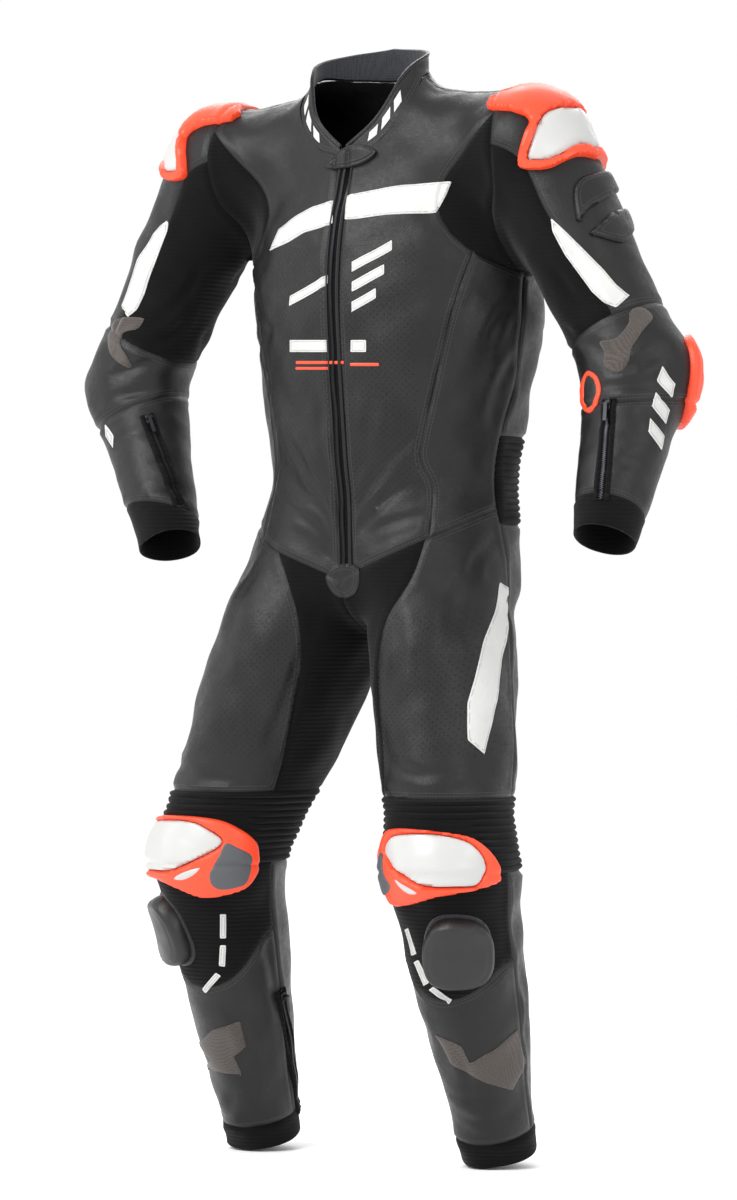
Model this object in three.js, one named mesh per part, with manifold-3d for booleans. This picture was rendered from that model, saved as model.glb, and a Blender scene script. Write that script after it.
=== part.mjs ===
// A one-piece leather race suit, empty and filled out as if worn, in millimetres.
// +Z is up, the front faces -Y and the wearer's left is +X. The origin lies midway between the shoulders.
// One smooth garment form gives the outer cloth surface.
// It becomes a wall, and the wall is cut along its seams.
import * as THREE from "three";
import { mergeVertices } from "three/addons/utils/BufferGeometryUtils.js";
import Module from "manifold-3d";

const wasm = await Module();
wasm.setup();

// Driving sizes
const WALL = 2;
const SEAM_GAP = 0.3;

// Torso sections: height z, middle x and y, half width, depth to the front and to the back.
const TORSO = [
  { z: -20, x: 0, y: -8, half: 120, front: 62, back: 66 },
  { z: -70, x: 1, y: 2, half: 166, front: 92, back: 98 },
  { z: -120, x: 3, y: 12, half: 178, front: 118, back: 116 },
  { z: -180, x: 6, y: 20, half: 184, front: 138, back: 124 },
  { z: -240, x: 9, y: 24, half: 185, front: 146, back: 126 },
  { z: -300, x: 8, y: 23, half: 176, front: 143, back: 122 },
  { z: -360, x: 7, y: 20, half: 165, front: 136, back: 116 },
  { z: -420, x: 7, y: 17, half: 158, front: 129, back: 112 },
  { z: -465, x: 7, y: 14, half: 156, front: 120, back: 112 },
  { z: -510, x: 4, y: 8, half: 158, front: 112, back: 114 },
  { z: -570, x: 1, y: 2, half: 158, front: 104, back: 116 },
];
const TORSO_FULLNESS_FRONT = 1.95;
const TORSO_FULLNESS_BACK = 2.4;

// Straight limbs: from and to are axis ends, and each section gives its place along the axis,
// its radius sideways and its radius front to back.
const LIMBS = {
  neck: {
    from: [0, -10, -60],
    to: [0, -34, 70],
    sections: [
      { at: 0, side: 84, deep: 74 },
      { at: 1, side: 72, deep: 62 },
    ],
  },
  shoulderR: {
    from: [-40, -6, -32],
    to: [-200, -8, -44],
    sections: [
      { at: 0, side: 66, deep: 64 },
      { at: 0.65, side: 62, deep: 66 },
      { at: 1, side: 54, deep: 66 },
    ],
  },
  upperArmR: {
    from: [-216, -9, -46],
    to: [-354, -6, -314],
    sections: [
      { at: 0, side: 64, deep: 72 },
      { at: 0.35, side: 65, deep: 70 },
      { at: 0.7, side: 60, deep: 66 },
      { at: 1, side: 54, deep: 60 },
    ],
  },
  upperArmL: {
    from: [212, -9, -48],
    to: [352, -6, -317],
    sections: [
      { at: 0, side: 64, deep: 72 },
      { at: 0.35, side: 65, deep: 70 },
      { at: 0.7, side: 60, deep: 66 },
      { at: 1, side: 58, deep: 62 },
    ],
  },
  forearmR: {
    from: [-354, -6, -314],
    to: [-256, -78, -518],
    sections: [
      { at: 0, side: 54, deep: 58 },
      { at: 0.25, side: 54, deep: 56 },
      { at: 0.6, side: 46, deep: 48 },
      { at: 1, side: 38, deep: 41 },
    ],
  },
  forearmL: {
    from: [352, -6, -317],
    to: [354, -102, -515],
    sections: [
      { at: 0, side: 58, deep: 60 },
      { at: 0.25, side: 57, deep: 58 },
      { at: 0.6, side: 47, deep: 49 },
      { at: 1, side: 37, deep: 41 },
    ],
  },
  thighR: {
    from: [-68, 10, -520],
    to: [-181, -88, -895],
    sections: [
      { at: 0, side: 80, deep: 104 },
      { at: 0.3, side: 92, deep: 120 },
      { at: 0.65, side: 86, deep: 102 },
      { at: 1, side: 68, deep: 76 },
    ],
  },
  thighL: {
    from: [74, 10, -520],
    to: [145, -88, -900],
    sections: [
      { at: 0, side: 76, deep: 104 },
      { at: 0.3, side: 80, deep: 112 },
      { at: 0.65, side: 78, deep: 96 },
      { at: 1, side: 68, deep: 76 },
    ],
  },
  shankR: {
    from: [-181, -88, -895],
    to: [-193, 42, -1262],
    sections: [
      { at: 0, side: 68, deep: 74 },
      { at: 0.25, side: 68, deep: 78 },
      { at: 0.55, side: 60, deep: 66 },
      { at: 0.85, side: 49, deep: 52 },
      { at: 1, side: 46, deep: 48 },
    ],
  },
  shankL: {
    from: [145, -88, -900],
    to: [141, 42, -1262],
    sections: [
      { at: 0, side: 68, deep: 74 },
      { at: 0.25, side: 68, deep: 78 },
      { at: 0.55, side: 60, deep: 66 },
      { at: 0.85, side: 49, deep: 52 },
      { at: 1, side: 46, deep: 48 },
    ],
  },
};
const mirrored = (limb) => ({
  from: [-limb.from[0], limb.from[1], limb.from[2]],
  to: [-limb.to[0], limb.to[1], limb.to[2]],
  sections: limb.sections,
});
LIMBS.shoulderL = mirrored(LIMBS.shoulderR);

// How softly the forms run into each other
const BLEND_BODY = 44;
const BLEND_NECK = 30;
const BLEND_ARM = 40;
const BLEND_ELBOW = 34;
const BLEND_HIP = 36;
const BLEND_KNEE = 40;
const BLEND_CROTCH = 40;

// A smooth curve through one column of a table, by the table's place column.
function along(table, place, column, at) {
  const last = table.length - 1;
  const down = table[0][place] > table[last][place];
  let i = 0;
  while (i < last - 1 && (down ? at < table[i + 1][place] : at > table[i + 1][place])) i += 1;
  const p = (k) => table[Math.min(Math.max(k, 0), last)];
  const slope = (k) => {
    const a = p(k - 1);
    const b = p(k + 1);
    return (b[column] - a[column]) / (b[place] - a[place]);
  };
  const step = p(i + 1)[place] - p(i)[place];
  const t = Math.min(Math.max((at - p(i)[place]) / step, 0), 1);
  const startSlope = slope(i) * step;
  const endSlope = slope(i + 1) * step;
  const rise = p(i + 1)[column] - p(i)[column];
  return (
    p(i)[column] +
    t * startSlope +
    t * t * (3 * rise - 2 * startSlope - endSlope) +
    t * t * t * (startSlope + endSlope - 2 * rise)
  );
}

// Each form gives a number that is about the distance from its surface, negative inside.
function torsoDepth(x, y, z) {
  const top = TORSO[0].z;
  const bottom = TORSO[TORSO.length - 1].z;
  const level = Math.min(Math.max(z, bottom), top);
  const row = (column) => along(TORSO, "z", column, level);
  const dx = Math.abs(x - row("x")) / row("half");
  const dy = y - row("y");
  const front = dy < 0;
  const depth = front ? row("front") : row("back");
  const fullness = front ? TORSO_FULLNESS_FRONT : TORSO_FULLNESS_BACK;
  const ring = Math.pow(Math.pow(dx, fullness) + Math.pow(Math.abs(dy) / depth, fullness), 1 / fullness);
  const size = Math.min(row("half"), depth);
  const past = (z - level) / 46;
  return (Math.hypot(ring, past) - 1) * size;
}

for (const limb of Object.values(LIMBS)) {
  const a = new THREE.Vector3(...limb.from);
  const b = new THREE.Vector3(...limb.to);
  limb.start = a;
  limb.long = a.distanceTo(b);
  limb.axis = b.clone().sub(a).normalize();
  const forward = new THREE.Vector3(0, -1, 0);
  limb.front = forward.addScaledVector(limb.axis, -forward.dot(limb.axis)).normalize();
  limb.side = new THREE.Vector3().crossVectors(limb.axis, limb.front);
}

function limbDepth(limb, x, y, z) {
  const dx = x - limb.start.x;
  const dy = y - limb.start.y;
  const dz = z - limb.start.z;
  const run = dx * limb.axis.x + dy * limb.axis.y + dz * limb.axis.z;
  const at = Math.min(Math.max(run / limb.long, 0), 1);
  const side = along(limb.sections, "at", "side", at);
  const deep = along(limb.sections, "at", "deep", at);
  const u = (dx * limb.side.x + dy * limb.side.y + dz * limb.side.z) / side;
  const v = (dx * limb.front.x + dy * limb.front.y + dz * limb.front.z) / deep;
  const past = (run - at * limb.long) / side;
  return (Math.hypot(u, v, past) - 1) * Math.min(side, deep);
}

function blend(a, b, softness) {
  const h = Math.max(softness - Math.abs(a - b), 0) / softness;
  return Math.min(a, b) - (h * h * softness) / 4;
}

// The whole garment's form: zero on the outer cloth, negative inside.
function form(x, y, z) {
  const right = x < 0;
  const limb = (name) => limbDepth(LIMBS[name + (right ? "R" : "L")], x, y, z);
  const other = (name) => limbDepth(LIMBS[name + (right ? "L" : "R")], x, y, z);
  let depth = torsoDepth(x, y, z);
  if (z > -320) {
    depth = blend(depth, blend(limb("shoulder"), other("shoulder"), BLEND_BODY), BLEND_BODY);
    depth = blend(depth, limbDepth(LIMBS.neck, x, y, z), BLEND_NECK);
  }
  if (z > -700) depth = blend(depth, blend(limb("upperArm"), limb("forearm"), BLEND_ELBOW), BLEND_ARM);
  if (z < -300) {
    const near = blend(limb("thigh"), limb("shank"), BLEND_KNEE);
    const far = blend(other("thigh"), other("shank"), BLEND_KNEE);
    depth = blend(depth, blend(near, far, BLEND_CROTCH), BLEND_HIP);
  }
  return depth;
}

const NUDGE = 0.5;
function slopeAt(p) {
  return new THREE.Vector3(
    form(p.x + NUDGE, p.y, p.z) - form(p.x - NUDGE, p.y, p.z),
    form(p.x, p.y + NUDGE, p.z) - form(p.x, p.y - NUDGE, p.z),
    form(p.x, p.y, p.z + NUDGE) - form(p.x, p.y, p.z - NUDGE),
  ).divideScalar(2 * NUDGE);
}

// The first place where a straight line from inside leaves the form.
function castOut(from, direction) {
  const d = direction.clone().normalize();
  const at = (t) => form(from.x + d.x * t, from.y + d.y * t, from.z + d.z * t);
  let far = 0;
  while (at(far) < 0 && far < 420) far += 4;
  let near = Math.max(far - 4, 0);
  for (let i = 0; i < 18; i += 1) {
    const mid = (near + far) / 2;
    if (at(mid) < 0) near = mid;
    else far = mid;
  }
  return from.clone().addScaledVector(d, far);
}

// Moves a point that lies near the surface onto it.
function settle(p) {
  const q = p.clone();
  for (let i = 0; i < 12; i += 1) {
    const slope = slopeAt(q);
    q.addScaledVector(slope, -form(q.x, q.y, q.z) / slope.lengthSq());
  }
  return q;
}

// The skin is one net of four-cornered cells, shared by all pieces.
const HALF_COLUMNS = 12;
const SHOULDER_COLUMNS = 2;
const ARMHOLE_ROWS = 6;
const CROTCH_COLUMNS = 4;
// Neckline: turn is the angle from the centre front, in degrees.
const NECKLINE = [
  { turn: 0, z: -54 },
  { turn: 30, z: -38 },
  { turn: 60, z: 10 },
  { turn: 90, z: 47 },
  { turn: 135, z: 52 },
  { turn: 180, z: 50 },
];
const HIP_LEVEL = -560;
const TORSO_LEVELS = [-220, -262, -308, -352, -392, -430, -468, -510, HIP_LEVEL];

const points = [];
const addPoint = (p) => points.push(p) - 1;
const cells = [];
const addRows = (upper, lower, closed) => {
  const count = closed ? upper.length : upper.length - 1;
  for (let i = 0; i < count; i += 1) {
    const next = (i + 1) % upper.length;
    cells.push([upper[i], lower[i], lower[next], upper[next]]);
  }
};

// Armhole: a ring in a steep plane, from the armpit by the front to the shoulder and back down.
const ARMHOLE_MIDDLE = new THREE.Vector3(191, -4, -84);
const ARMHOLE_LEAN = 0.07;
function armhole(sideSign) {
  const middle = ARMHOLE_MIDDLE.clone();
  middle.x *= sideSign;
  const down = new THREE.Vector3(sideSign * ARMHOLE_LEAN, 0, -1).normalize();
  const ring = [];
  for (let i = 0; i < 2 * ARMHOLE_ROWS; i += 1) {
    const angle = (Math.PI * i) / ARMHOLE_ROWS;
    const out = down.clone().multiplyScalar(Math.cos(angle));
    out.y -= Math.sin(angle);
    ring.push(addPoint(castOut(middle, out)));
  }
  return ring;
}
const armholeR = armhole(-1);
const armholeL = armhole(1);

// The ring at armpit height runs from the right armpit by the front to the left one, and round the back.
function armpitRow(face) {
  const right = points[armholeR[0]];
  const left = points[armholeL[0]];
  const row = [armholeR[0]];
  for (let i = 1; i < HALF_COLUMNS; i += 1) {
    const angle = (Math.PI * i) / HALF_COLUMNS;
    const level = right.z + (left.z - right.z) * (i / HALF_COLUMNS);
    const middle = new THREE.Vector3(along(TORSO, "z", "x", level), along(TORSO, "z", "y", level), level);
    const out = new THREE.Vector3(
      -Math.cos(angle) * along(TORSO, "z", "half", level),
      face * Math.sin(angle) * along(TORSO, "z", face < 0 ? "front" : "back", level),
      0,
    );
    const reach = Math.abs(Math.cos(angle));
    const target = reach > 0.93 ? null : castOut(middle, out);
    row.push(target ? addPoint(target) : null);
  }
  row.push(armholeL[0]);
  // Cells beside the armpit, where a straight line would run on into the arm, are eased in.
  row.forEach((value, i) => {
    if (value !== null) return;
    let before = i;
    let after = i;
    while (row[before] === null || (before === i && value === null)) before -= 1;
    while (row[after] === null || (after === i && value === null)) after += 1;
    const p = points[row[before]].clone().lerp(points[row[after]], (i - before) / (after - before));
    row[i] = addPoint(settle(p));
  });
  return row;
}

// The top line runs from the right shoulder point by the neck to the left one.
function neckPoint(angle) {
  const turn = Math.abs((angle * 180) / Math.PI);
  const level = along(NECKLINE, "turn", "z", turn > 180 ? 360 - turn : turn);
  const neck = LIMBS.neck;
  const middle = neck.start.clone().addScaledVector(neck.axis, (level - neck.start.z) / neck.axis.z);
  return addPoint(castOut(middle, new THREE.Vector3(Math.sin(angle), -Math.cos(angle), 0)));
}
const neckSides = { R: neckPoint(-Math.PI / 2), L: neckPoint(Math.PI / 2) };
function shoulderLine(side, ring) {
  const outer = points[ring[ARMHOLE_ROWS]];
  const inner = points[neckSides[side]];
  const line = [];
  for (let i = 1; i < SHOULDER_COLUMNS; i += 1) {
    const p = outer.clone().lerp(inner, i / SHOULDER_COLUMNS);
    line.push(addPoint(castOut(new THREE.Vector3(p.x, p.y, -40), new THREE.Vector3(0, 0, 1))));
  }
  return line;
}
const shoulderLineR = shoulderLine("R", armholeR);
const shoulderLineL = shoulderLine("L", armholeL);
function topRow(face) {
  const neckColumns = HALF_COLUMNS - 2 * SHOULDER_COLUMNS;
  const row = [armholeR[ARMHOLE_ROWS], ...shoulderLineR, neckSides.R];
  for (let i = 1; i < neckColumns; i += 1) {
    const angle = -Math.PI / 2 + (Math.PI * i) / neckColumns;
    row.push(neckPoint(face < 0 ? angle : Math.PI - angle));
  }
  row.push(neckSides.L, ...[...shoulderLineL].reverse(), armholeL[ARMHOLE_ROWS]);
  return row;
}

// A sheet between the armpit row and the top line, its sides on the armholes.
function yoke(face) {
  const low = armpitRow(face);
  const high = topRow(face);
  const sideOf = (ring, j) => ring[face < 0 ? j : (2 * ARMHOLE_ROWS - j) % (2 * ARMHOLE_ROWS)];
  const rows = [low];
  const at = (k) => points[k];
  for (let j = 1; j < ARMHOLE_ROWS; j += 1) {
    const t = j / ARMHOLE_ROWS;
    const first = sideOf(armholeR, j);
    const last = sideOf(armholeL, j);
    const row = [first];
    for (let i = 1; i < HALF_COLUMNS; i += 1) {
      const s = i / HALF_COLUMNS;
      const p = at(low[i]).clone().multiplyScalar(1 - t).addScaledVector(at(high[i]), t);
      p.addScaledVector(at(first), 1 - s).addScaledVector(at(last), s);
      p.addScaledVector(at(low[0]), -(1 - s) * (1 - t)).addScaledVector(at(low[HALF_COLUMNS]), -s * (1 - t));
      p.addScaledVector(at(high[0]), -(1 - s) * t).addScaledVector(at(high[HALF_COLUMNS]), -s * t);
      row.push(addPoint(settle(p)));
    }
    row.push(last);
    rows.push(row);
  }
  rows.push(high);
  return rows;
}
const frontYoke = yoke(-1);
const backYoke = yoke(1);
for (let j = 0; j < ARMHOLE_ROWS; j += 1) {
  addRows(frontYoke[j + 1], frontYoke[j], false);
  addRows(backYoke[j], backYoke[j + 1], false);
}

// Torso rings below the armpits start at the right side and run by the front to the left and back.
const ringOf = (level) => {
  const middle = new THREE.Vector3(along(TORSO, "z", "x", level), along(TORSO, "z", "y", level), level);
  const ring = [];
  for (let i = 0; i < 2 * HALF_COLUMNS; i += 1) {
    const angle = (Math.PI * i) / HALF_COLUMNS;
    const face = i < HALF_COLUMNS ? "front" : "back";
    const out = new THREE.Vector3(
      -Math.cos(angle) * along(TORSO, "z", "half", level),
      -Math.sin(angle) * along(TORSO, "z", face, level),
      0,
    );
    ring.push(addPoint(castOut(middle, out)));
  }
  return ring;
};
const armpitRing = [...frontYoke[0], ...[...backYoke[0]].reverse().slice(1, -1)];
const torsoRings = [armpitRing, ...TORSO_LEVELS.map(ringOf)];
for (let j = 0; j + 1 < torsoRings.length; j += 1) addRows(torsoRings[j], torsoRings[j + 1], true);

// Sleeves: rings fan from the armhole plane to square across the arm, and turn again at the elbow.
const SLEEVE_STEPS = [0.14, 0.3, 0.46, 0.64, 0.83, 1];
const FOREARM_STEPS = [0.2, 0.42, 0.7, 1];
const smooth = (t) => {
  const s = Math.min(Math.max(t, 0), 1);
  return s * s * (3 - 2 * s);
};
function sleeve(side, ring0) {
  const sign = side === "R" ? -1 : 1;
  const upper = LIMBS["upperArm" + side];
  const fore = LIMBS["forearm" + side];
  const elbow = fore.start;
  const wrist = elbow.clone().addScaledVector(fore.axis, fore.long);
  const first = ARMHOLE_MIDDLE.clone();
  first.x *= sign;
  const out0 = new THREE.Vector3(sign, 0, ARMHOLE_LEAN).normalize();
  const bisector = upper.axis.clone().add(fore.axis).normalize();
  const rings = [ring0];
  const ringAt = (middle, normal) => {
    const forward = new THREE.Vector3(0, -1, 0);
    const front = forward.addScaledVector(normal, -forward.dot(normal)).normalize();
    const down = new THREE.Vector3().crossVectors(front, normal).multiplyScalar(-sign);
    const ring = [];
    for (let i = 0; i < 2 * ARMHOLE_ROWS; i += 1) {
      const angle = (Math.PI * i) / ARMHOLE_ROWS;
      const out = down.clone().multiplyScalar(Math.cos(angle)).addScaledVector(front, Math.sin(angle));
      ring.push(addPoint(castOut(middle, out)));
    }
    return ring;
  };
  for (const t of SLEEVE_STEPS) {
    const normal = out0.clone().lerp(upper.axis, smooth(t / 0.6)).lerp(bisector, smooth((t - 0.6) / 0.4));
    rings.push(ringAt(first.clone().lerp(elbow, t), normal.normalize()));
  }
  for (const t of FOREARM_STEPS) {
    const normal = bisector.clone().lerp(fore.axis, smooth(t / 0.4)).normalize();
    rings.push(ringAt(elbow.clone().lerp(wrist, t), normal));
  }
  rings.slice(1).forEach((ring, j) => {
    if (sign < 0) addRows(ring, rings[j], true);
    else addRows(rings[j], ring, true);
  });
  return rings;
}
const sleeveR = sleeve("R", armholeR);
const sleeveL = sleeve("L", armholeL);

// Crotch: a short row under the body from the back to the front, shared by both legs.
const hipRing = torsoRings[torsoRings.length - 1];
const CROTCH_MIDDLE = new THREE.Vector3(-3, 4, HIP_LEVEL);
const crotch = [];
for (let i = 1; i < CROTCH_COLUMNS; i += 1) {
  const angle = (Math.PI * i) / CROTCH_COLUMNS;
  crotch.push(addPoint(castOut(CROTCH_MIDDLE, new THREE.Vector3(0, Math.cos(angle), -Math.sin(angle)))));
}

// Legs: rings fan from the hip and crotch line to level, all the way down to the hem.
const LEG_LEVELS = [-612, -668, -726, -780, -820, -858, -900, -948, -1000, -1056, -1114, -1172, -1214, -1252];
const FAN_ROWS = 4;
const HEM_TILT = 0.34;
const HEM_TILT_FROM = -1090;
function leg(side) {
  const sign = side === "R" ? -1 : 1;
  const thigh = LIMBS["thigh" + side];
  const shank = LIMBS["shank" + side];
  const middleFront = HALF_COLUMNS / 2;
  const half = [];
  for (let i = 0; i <= HALF_COLUMNS; i += 1) {
    const place = middleFront + sign * i;
    half.push(hipRing[(place + 2 * HALF_COLUMNS) % (2 * HALF_COLUMNS)]);
  }
  const ring0 = [...half, ...crotch];
  const knee = shank.start;
  const axisAt = (z) => {
    const limb = z > knee.z ? thigh : shank;
    const run = (z - limb.start.z) / limb.axis.z;
    return limb.start.clone().addScaledVector(limb.axis, run);
  };
  const start = axisAt(HIP_LEVEL - 10);
  const columns = ring0.length;
  const angles = ring0.map((k) => Math.atan2((points[k].x - start.x) * sign, -(points[k].y - start.y)));
  const unwound = [angles[0]];
  for (let i = 1; i < columns; i += 1) {
    let a = angles[i];
    while (a < unwound[i - 1] - 0.2) a += 2 * Math.PI;
    unwound.push(a);
  }
  const rings = [ring0];
  LEG_LEVELS.forEach((z, j) => {
    const even = smooth((j + 1) / FAN_ROWS);
    const drop = 0.42 * (1 - smooth((j + 1) / (FAN_ROWS + 1)));
    const tilt = HEM_TILT * smooth((HEM_TILT_FROM - z) / (HEM_TILT_FROM - LEG_LEVELS[LEG_LEVELS.length - 1]));
    const middle = axisAt(z);
    const ring = [];
    for (let i = 0; i < columns; i += 1) {
      const uniform = unwound[0] + (2 * Math.PI * i) / columns;
      const angle = unwound[i] + (uniform - unwound[i]) * even;
      const inward = Math.max(0, -Math.sin(angle));
      const out = new THREE.Vector3(sign * Math.sin(angle), -Math.cos(angle), -drop * inward);
      out.z -= tilt * Math.cos(angle);
      ring.push(addPoint(castOut(middle, out)));
    }
    rings.push(ring);
  });
  rings.slice(1).forEach((ring, j) => {
    if (sign < 0) addRows(ring, rings[j], true);
    else addRows(rings[j], ring, true);
  });
  return rings;
}
const legR = leg("R");
const legL = leg("L");

const outward = points.map((p) => slopeAt(p).normalize());

// A closed wall from cells of the skin: outer points, inner points a wall's thickness in, and the rims.
// A point may have a lift of its own, such as the crest of a ridge.
const lifts = new Map();
function wall(chosen) {
  const place = [];
  const index = new Map();
  const corner = (k) => {
    if (!index.has(k)) {
      index.set(k, place.length / 3);
      const outer = points[k].clone().addScaledVector(outward[k], lifts.get(k) ?? 0);
      const inner = points[k].clone().addScaledVector(outward[k], -WALL);
      place.push(outer.x, outer.y, outer.z, inner.x, inner.y, inner.z);
    }
    return index.get(k);
  };
  const faces = [];
  const edges = new Map();
  for (const cell of chosen) {
    const [a, b, c, d] = cell;
    const split = points[a].distanceTo(points[c]) <= points[b].distanceTo(points[d]);
    const halves = split ? [[a, b, c], [a, c, d]] : [[a, b, d], [b, c, d]];
    for (const [p, q, r] of halves) {
      faces.push([corner(p), corner(q), corner(r)], [corner(p) + 1, corner(r) + 1, corner(q) + 1]);
    }
    cell.forEach((from, i) => {
      const to = cell[(i + 1) % 4];
      if (edges.has(to + "," + from)) edges.delete(to + "," + from);
      else edges.set(from + "," + to, [from, to]);
    });
  }
  for (const [from, to] of edges.values()) {
    const [a, b] = [corner(from), corner(to)];
    faces.push([a, a + 1, b], [b, a + 1, b + 1]);
  }
  return solid(Float32Array.from(place), Uint32Array.from(faces.flat()));
}

function solid(vertProperties, triVerts) {
  return new wasm.Manifold(new wasm.Mesh({ numProp: 3, vertProperties, triVerts }));
}

function solidOf(geometry) {
  const bare = geometry.clone();
  bare.deleteAttribute("normal");
  bare.deleteAttribute("uv");
  const merged = mergeVertices(bare, 1e-4);
  return solid(merged.attributes.position.array, new Uint32Array(merged.index.array));
}

function geometryOf(made) {
  const mesh = made.getMesh();
  const geometry = new THREE.BufferGeometry();
  geometry.setAttribute("position", new THREE.BufferAttribute(Float32Array.from(mesh.vertProperties), 3));
  geometry.setIndex(new THREE.BufferAttribute(Uint32Array.from(mesh.triVerts), 1));
  return geometry;
}

// Finer rows of cells over some rings, with a ridge on every second row.
// Height gives a ridge's rise at a point.
function ridgedCells(rings, columns, closed, rowsBetween, height) {
  const rows = [];
  for (let j = 0; j + 1 < rings.length; j += 1) {
    for (let r = 0; r < rowsBetween; r += 1) {
      const t = r / rowsBetween;
      const ridge = (j * rowsBetween + r) % 2 === 1;
      rows.push(columns.map((i) => {
        const [a, b] = [rings[j][i], rings[j + 1][i]];
        const k = addPoint(points[a].clone().lerp(points[b], t));
        outward.push(outward[a].clone().lerp(outward[b], t).normalize());
        if (ridge) lifts.set(k, height(points[k]));
        return k;
      }));
    }
  }
  const made = [];
  const count = closed ? columns.length : columns.length - 1;
  for (let j = 0; j + 1 < rows.length; j += 1) {
    for (let i = 0; i < count; i += 1) {
      const next = (i + 1) % columns.length;
      made.push([rows[j][i], rows[j + 1][i], rows[j + 1][next], rows[j][next]]);
    }
  }
  return made;
}

// Seams. Each is a line in the front view (x, z) or the side view (y, z), cut through a range of depth.
// A seam on both sides is given for the left and mirrored.
const ZIP_LINE = [[4, 10], [-1, -130], [2, -290], [7, -450], [10, -600]];
const ZIP_HALF = 9;
const shifted = (line, by) => line.map(([h, z]) => [h + by, z]);
const ARMHOLE_LINE = [[186, 80], [190, 20], [197, -40], [192, -95], [177, -127], [180, -156], [198, -205]];
const GUSSET_LINE = [[214, 14], [158, -50], [128, -84], [120, -115], [132, -142], [160, -172], [216, -206]];
const SHOULDER_LINE = [[-26, -30], [-26, 90]];
const BODY_SIDE_LINE = [[5, -168], [4, -262], [12, -321], [2, -369], [-6, -417], [-5, -471], [8, -537]];
const SIDE_PANEL_TOP = [[158, -168], [138, -253], [120, -327]];
const SIDE_PANEL_LINE = [...SIDE_PANEL_TOP, [107, -383], [102, -418], [114, -455], [116, -520]];
const FRONT_HEM_LINE = [[178, -460], [150, -488], [116, -510], [84, -526], [44, -542], [-3, -562]];
const SLEEVE_LINE = [[188, -44], [232, -66], [262, -125], [290, -168], [318, -206], [352, -262]];
const ELBOW_LINE = [[250, -303], [430, -208]];
const MIRRORED_SEAMS = [
  { view: "front", from: -300, to: 300, line: ARMHOLE_LINE },
  { view: "front", from: -300, to: 8, line: GUSSET_LINE },
  { view: "side", from: 60, to: 204, line: SHOULDER_LINE },
  { view: "side", from: 100, to: 206, line: BODY_SIDE_LINE },
  { view: "front", from: -300, to: 0, line: SIDE_PANEL_LINE },
  { view: "front", from: -300, to: 6, line: FRONT_HEM_LINE },
  { view: "front", from: -300, to: 300, line: SLEEVE_LINE },
  { view: "front", from: -300, to: 300, line: ELBOW_LINE },
];
const CROTCH_LINE = [[3, -488], [3, -720]];
const INNER_LEFT = [[103, -561], [77, -609], [66, -656], [69, -703], [75, -778], [80, -830]];
const INNER_RIGHT = [[-66, -556], [-50, -600], [-45, -645], [-55, -705], [-73, -778], [-90, -830]];
const THIGH_SIDE = [[8, -530], [6, -580], [0, -650], [-18, -740], [-44, -826]];
const CALF_SIDE = [[-92, -898], [-72, -960], [-32, -1070], [8, -1170], [34, -1229]];
const HEM_SIDE = [[-80, -1260], [130, -1188]];
const PANEL_LEFT = [[62, -960], [95, -1032], [140, -1058], [190, -1040], [235, -968]];
const PANEL_RIGHT = [[-268, -968], [-232, -1040], [-182, -1058], [-138, -1032], [-105, -960]];
const SEAMS = [
  { view: "front", from: -300, to: -40, line: shifted(ZIP_LINE, -ZIP_HALF) },
  { view: "front", from: -300, to: -40, line: shifted(ZIP_LINE, ZIP_HALF) },
  { view: "front", from: -7, to: 300, line: [[-210, -388], [210, -388]] },
  { view: "front", from: -8, to: 300, line: [[-210, -494], [210, -494]] },
  { view: "front", from: -1, to: 300, line: CROTCH_LINE },
  { view: "front", from: -300, to: 1, line: [[3, -552], [3, -720]] },
  { view: "front", from: -300, to: 1, line: [[113, -506], ...INNER_LEFT] },
  { view: "front", from: -300, to: 1, line: [[-92, -512], ...INNER_RIGHT] },
  { view: "front", from: -1, to: 300, line: [[108, -486], ...INNER_LEFT] },
  { view: "front", from: -1, to: 300, line: [[-92, -486], ...INNER_RIGHT] },
  { view: "side", from: 96, to: 260, line: THIGH_SIDE },
  { view: "side", from: -300, to: -96, line: THIGH_SIDE },
  { view: "front", from: -300, to: 300, line: [[30, -818], [260, -818]] },
  { view: "front", from: -300, to: 300, line: [[-300, -816], [-40, -816]] },
  { view: "front", from: -300, to: 300, line: [[30, -905], [260, -905]] },
  { view: "front", from: -300, to: 300, line: [[-300, -903], [-40, -903]] },
  { view: "side", from: 20, to: 260, line: CALF_SIDE },
  { view: "side", from: -300, to: -60, line: CALF_SIDE },
  { view: "side", from: 20, to: 260, line: HEM_SIDE },
  { view: "side", from: -300, to: -60, line: HEM_SIDE },
  { view: "front", from: -300, to: -48, line: PANEL_LEFT },
  { view: "front", from: -300, to: -48, line: PANEL_RIGHT },
  { view: "front", from: -300, to: 300, line: [[270, -362], [440, -350]] },
  { view: "front", from: -300, to: 300, line: [[-430, -394], [-250, -314]] },
  { view: "side", from: 290, to: 430, line: [[-170, -439], [-10, -517]] },
  { view: "side", from: -350, to: -190, line: [[-150, -447], [20, -507]] },
];
for (const seam of MIRRORED_SEAMS) {
  SEAMS.push(seam);
  const line = seam.view === "front" ? seam.line.map(([h, z]) => [-h, z]) : seam.line;
  const [from, to] = seam.view === "front" ? [seam.from, seam.to] : [-seam.to, -seam.from];
  SEAMS.push({ view: seam.view, from, to, line });
}

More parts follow.
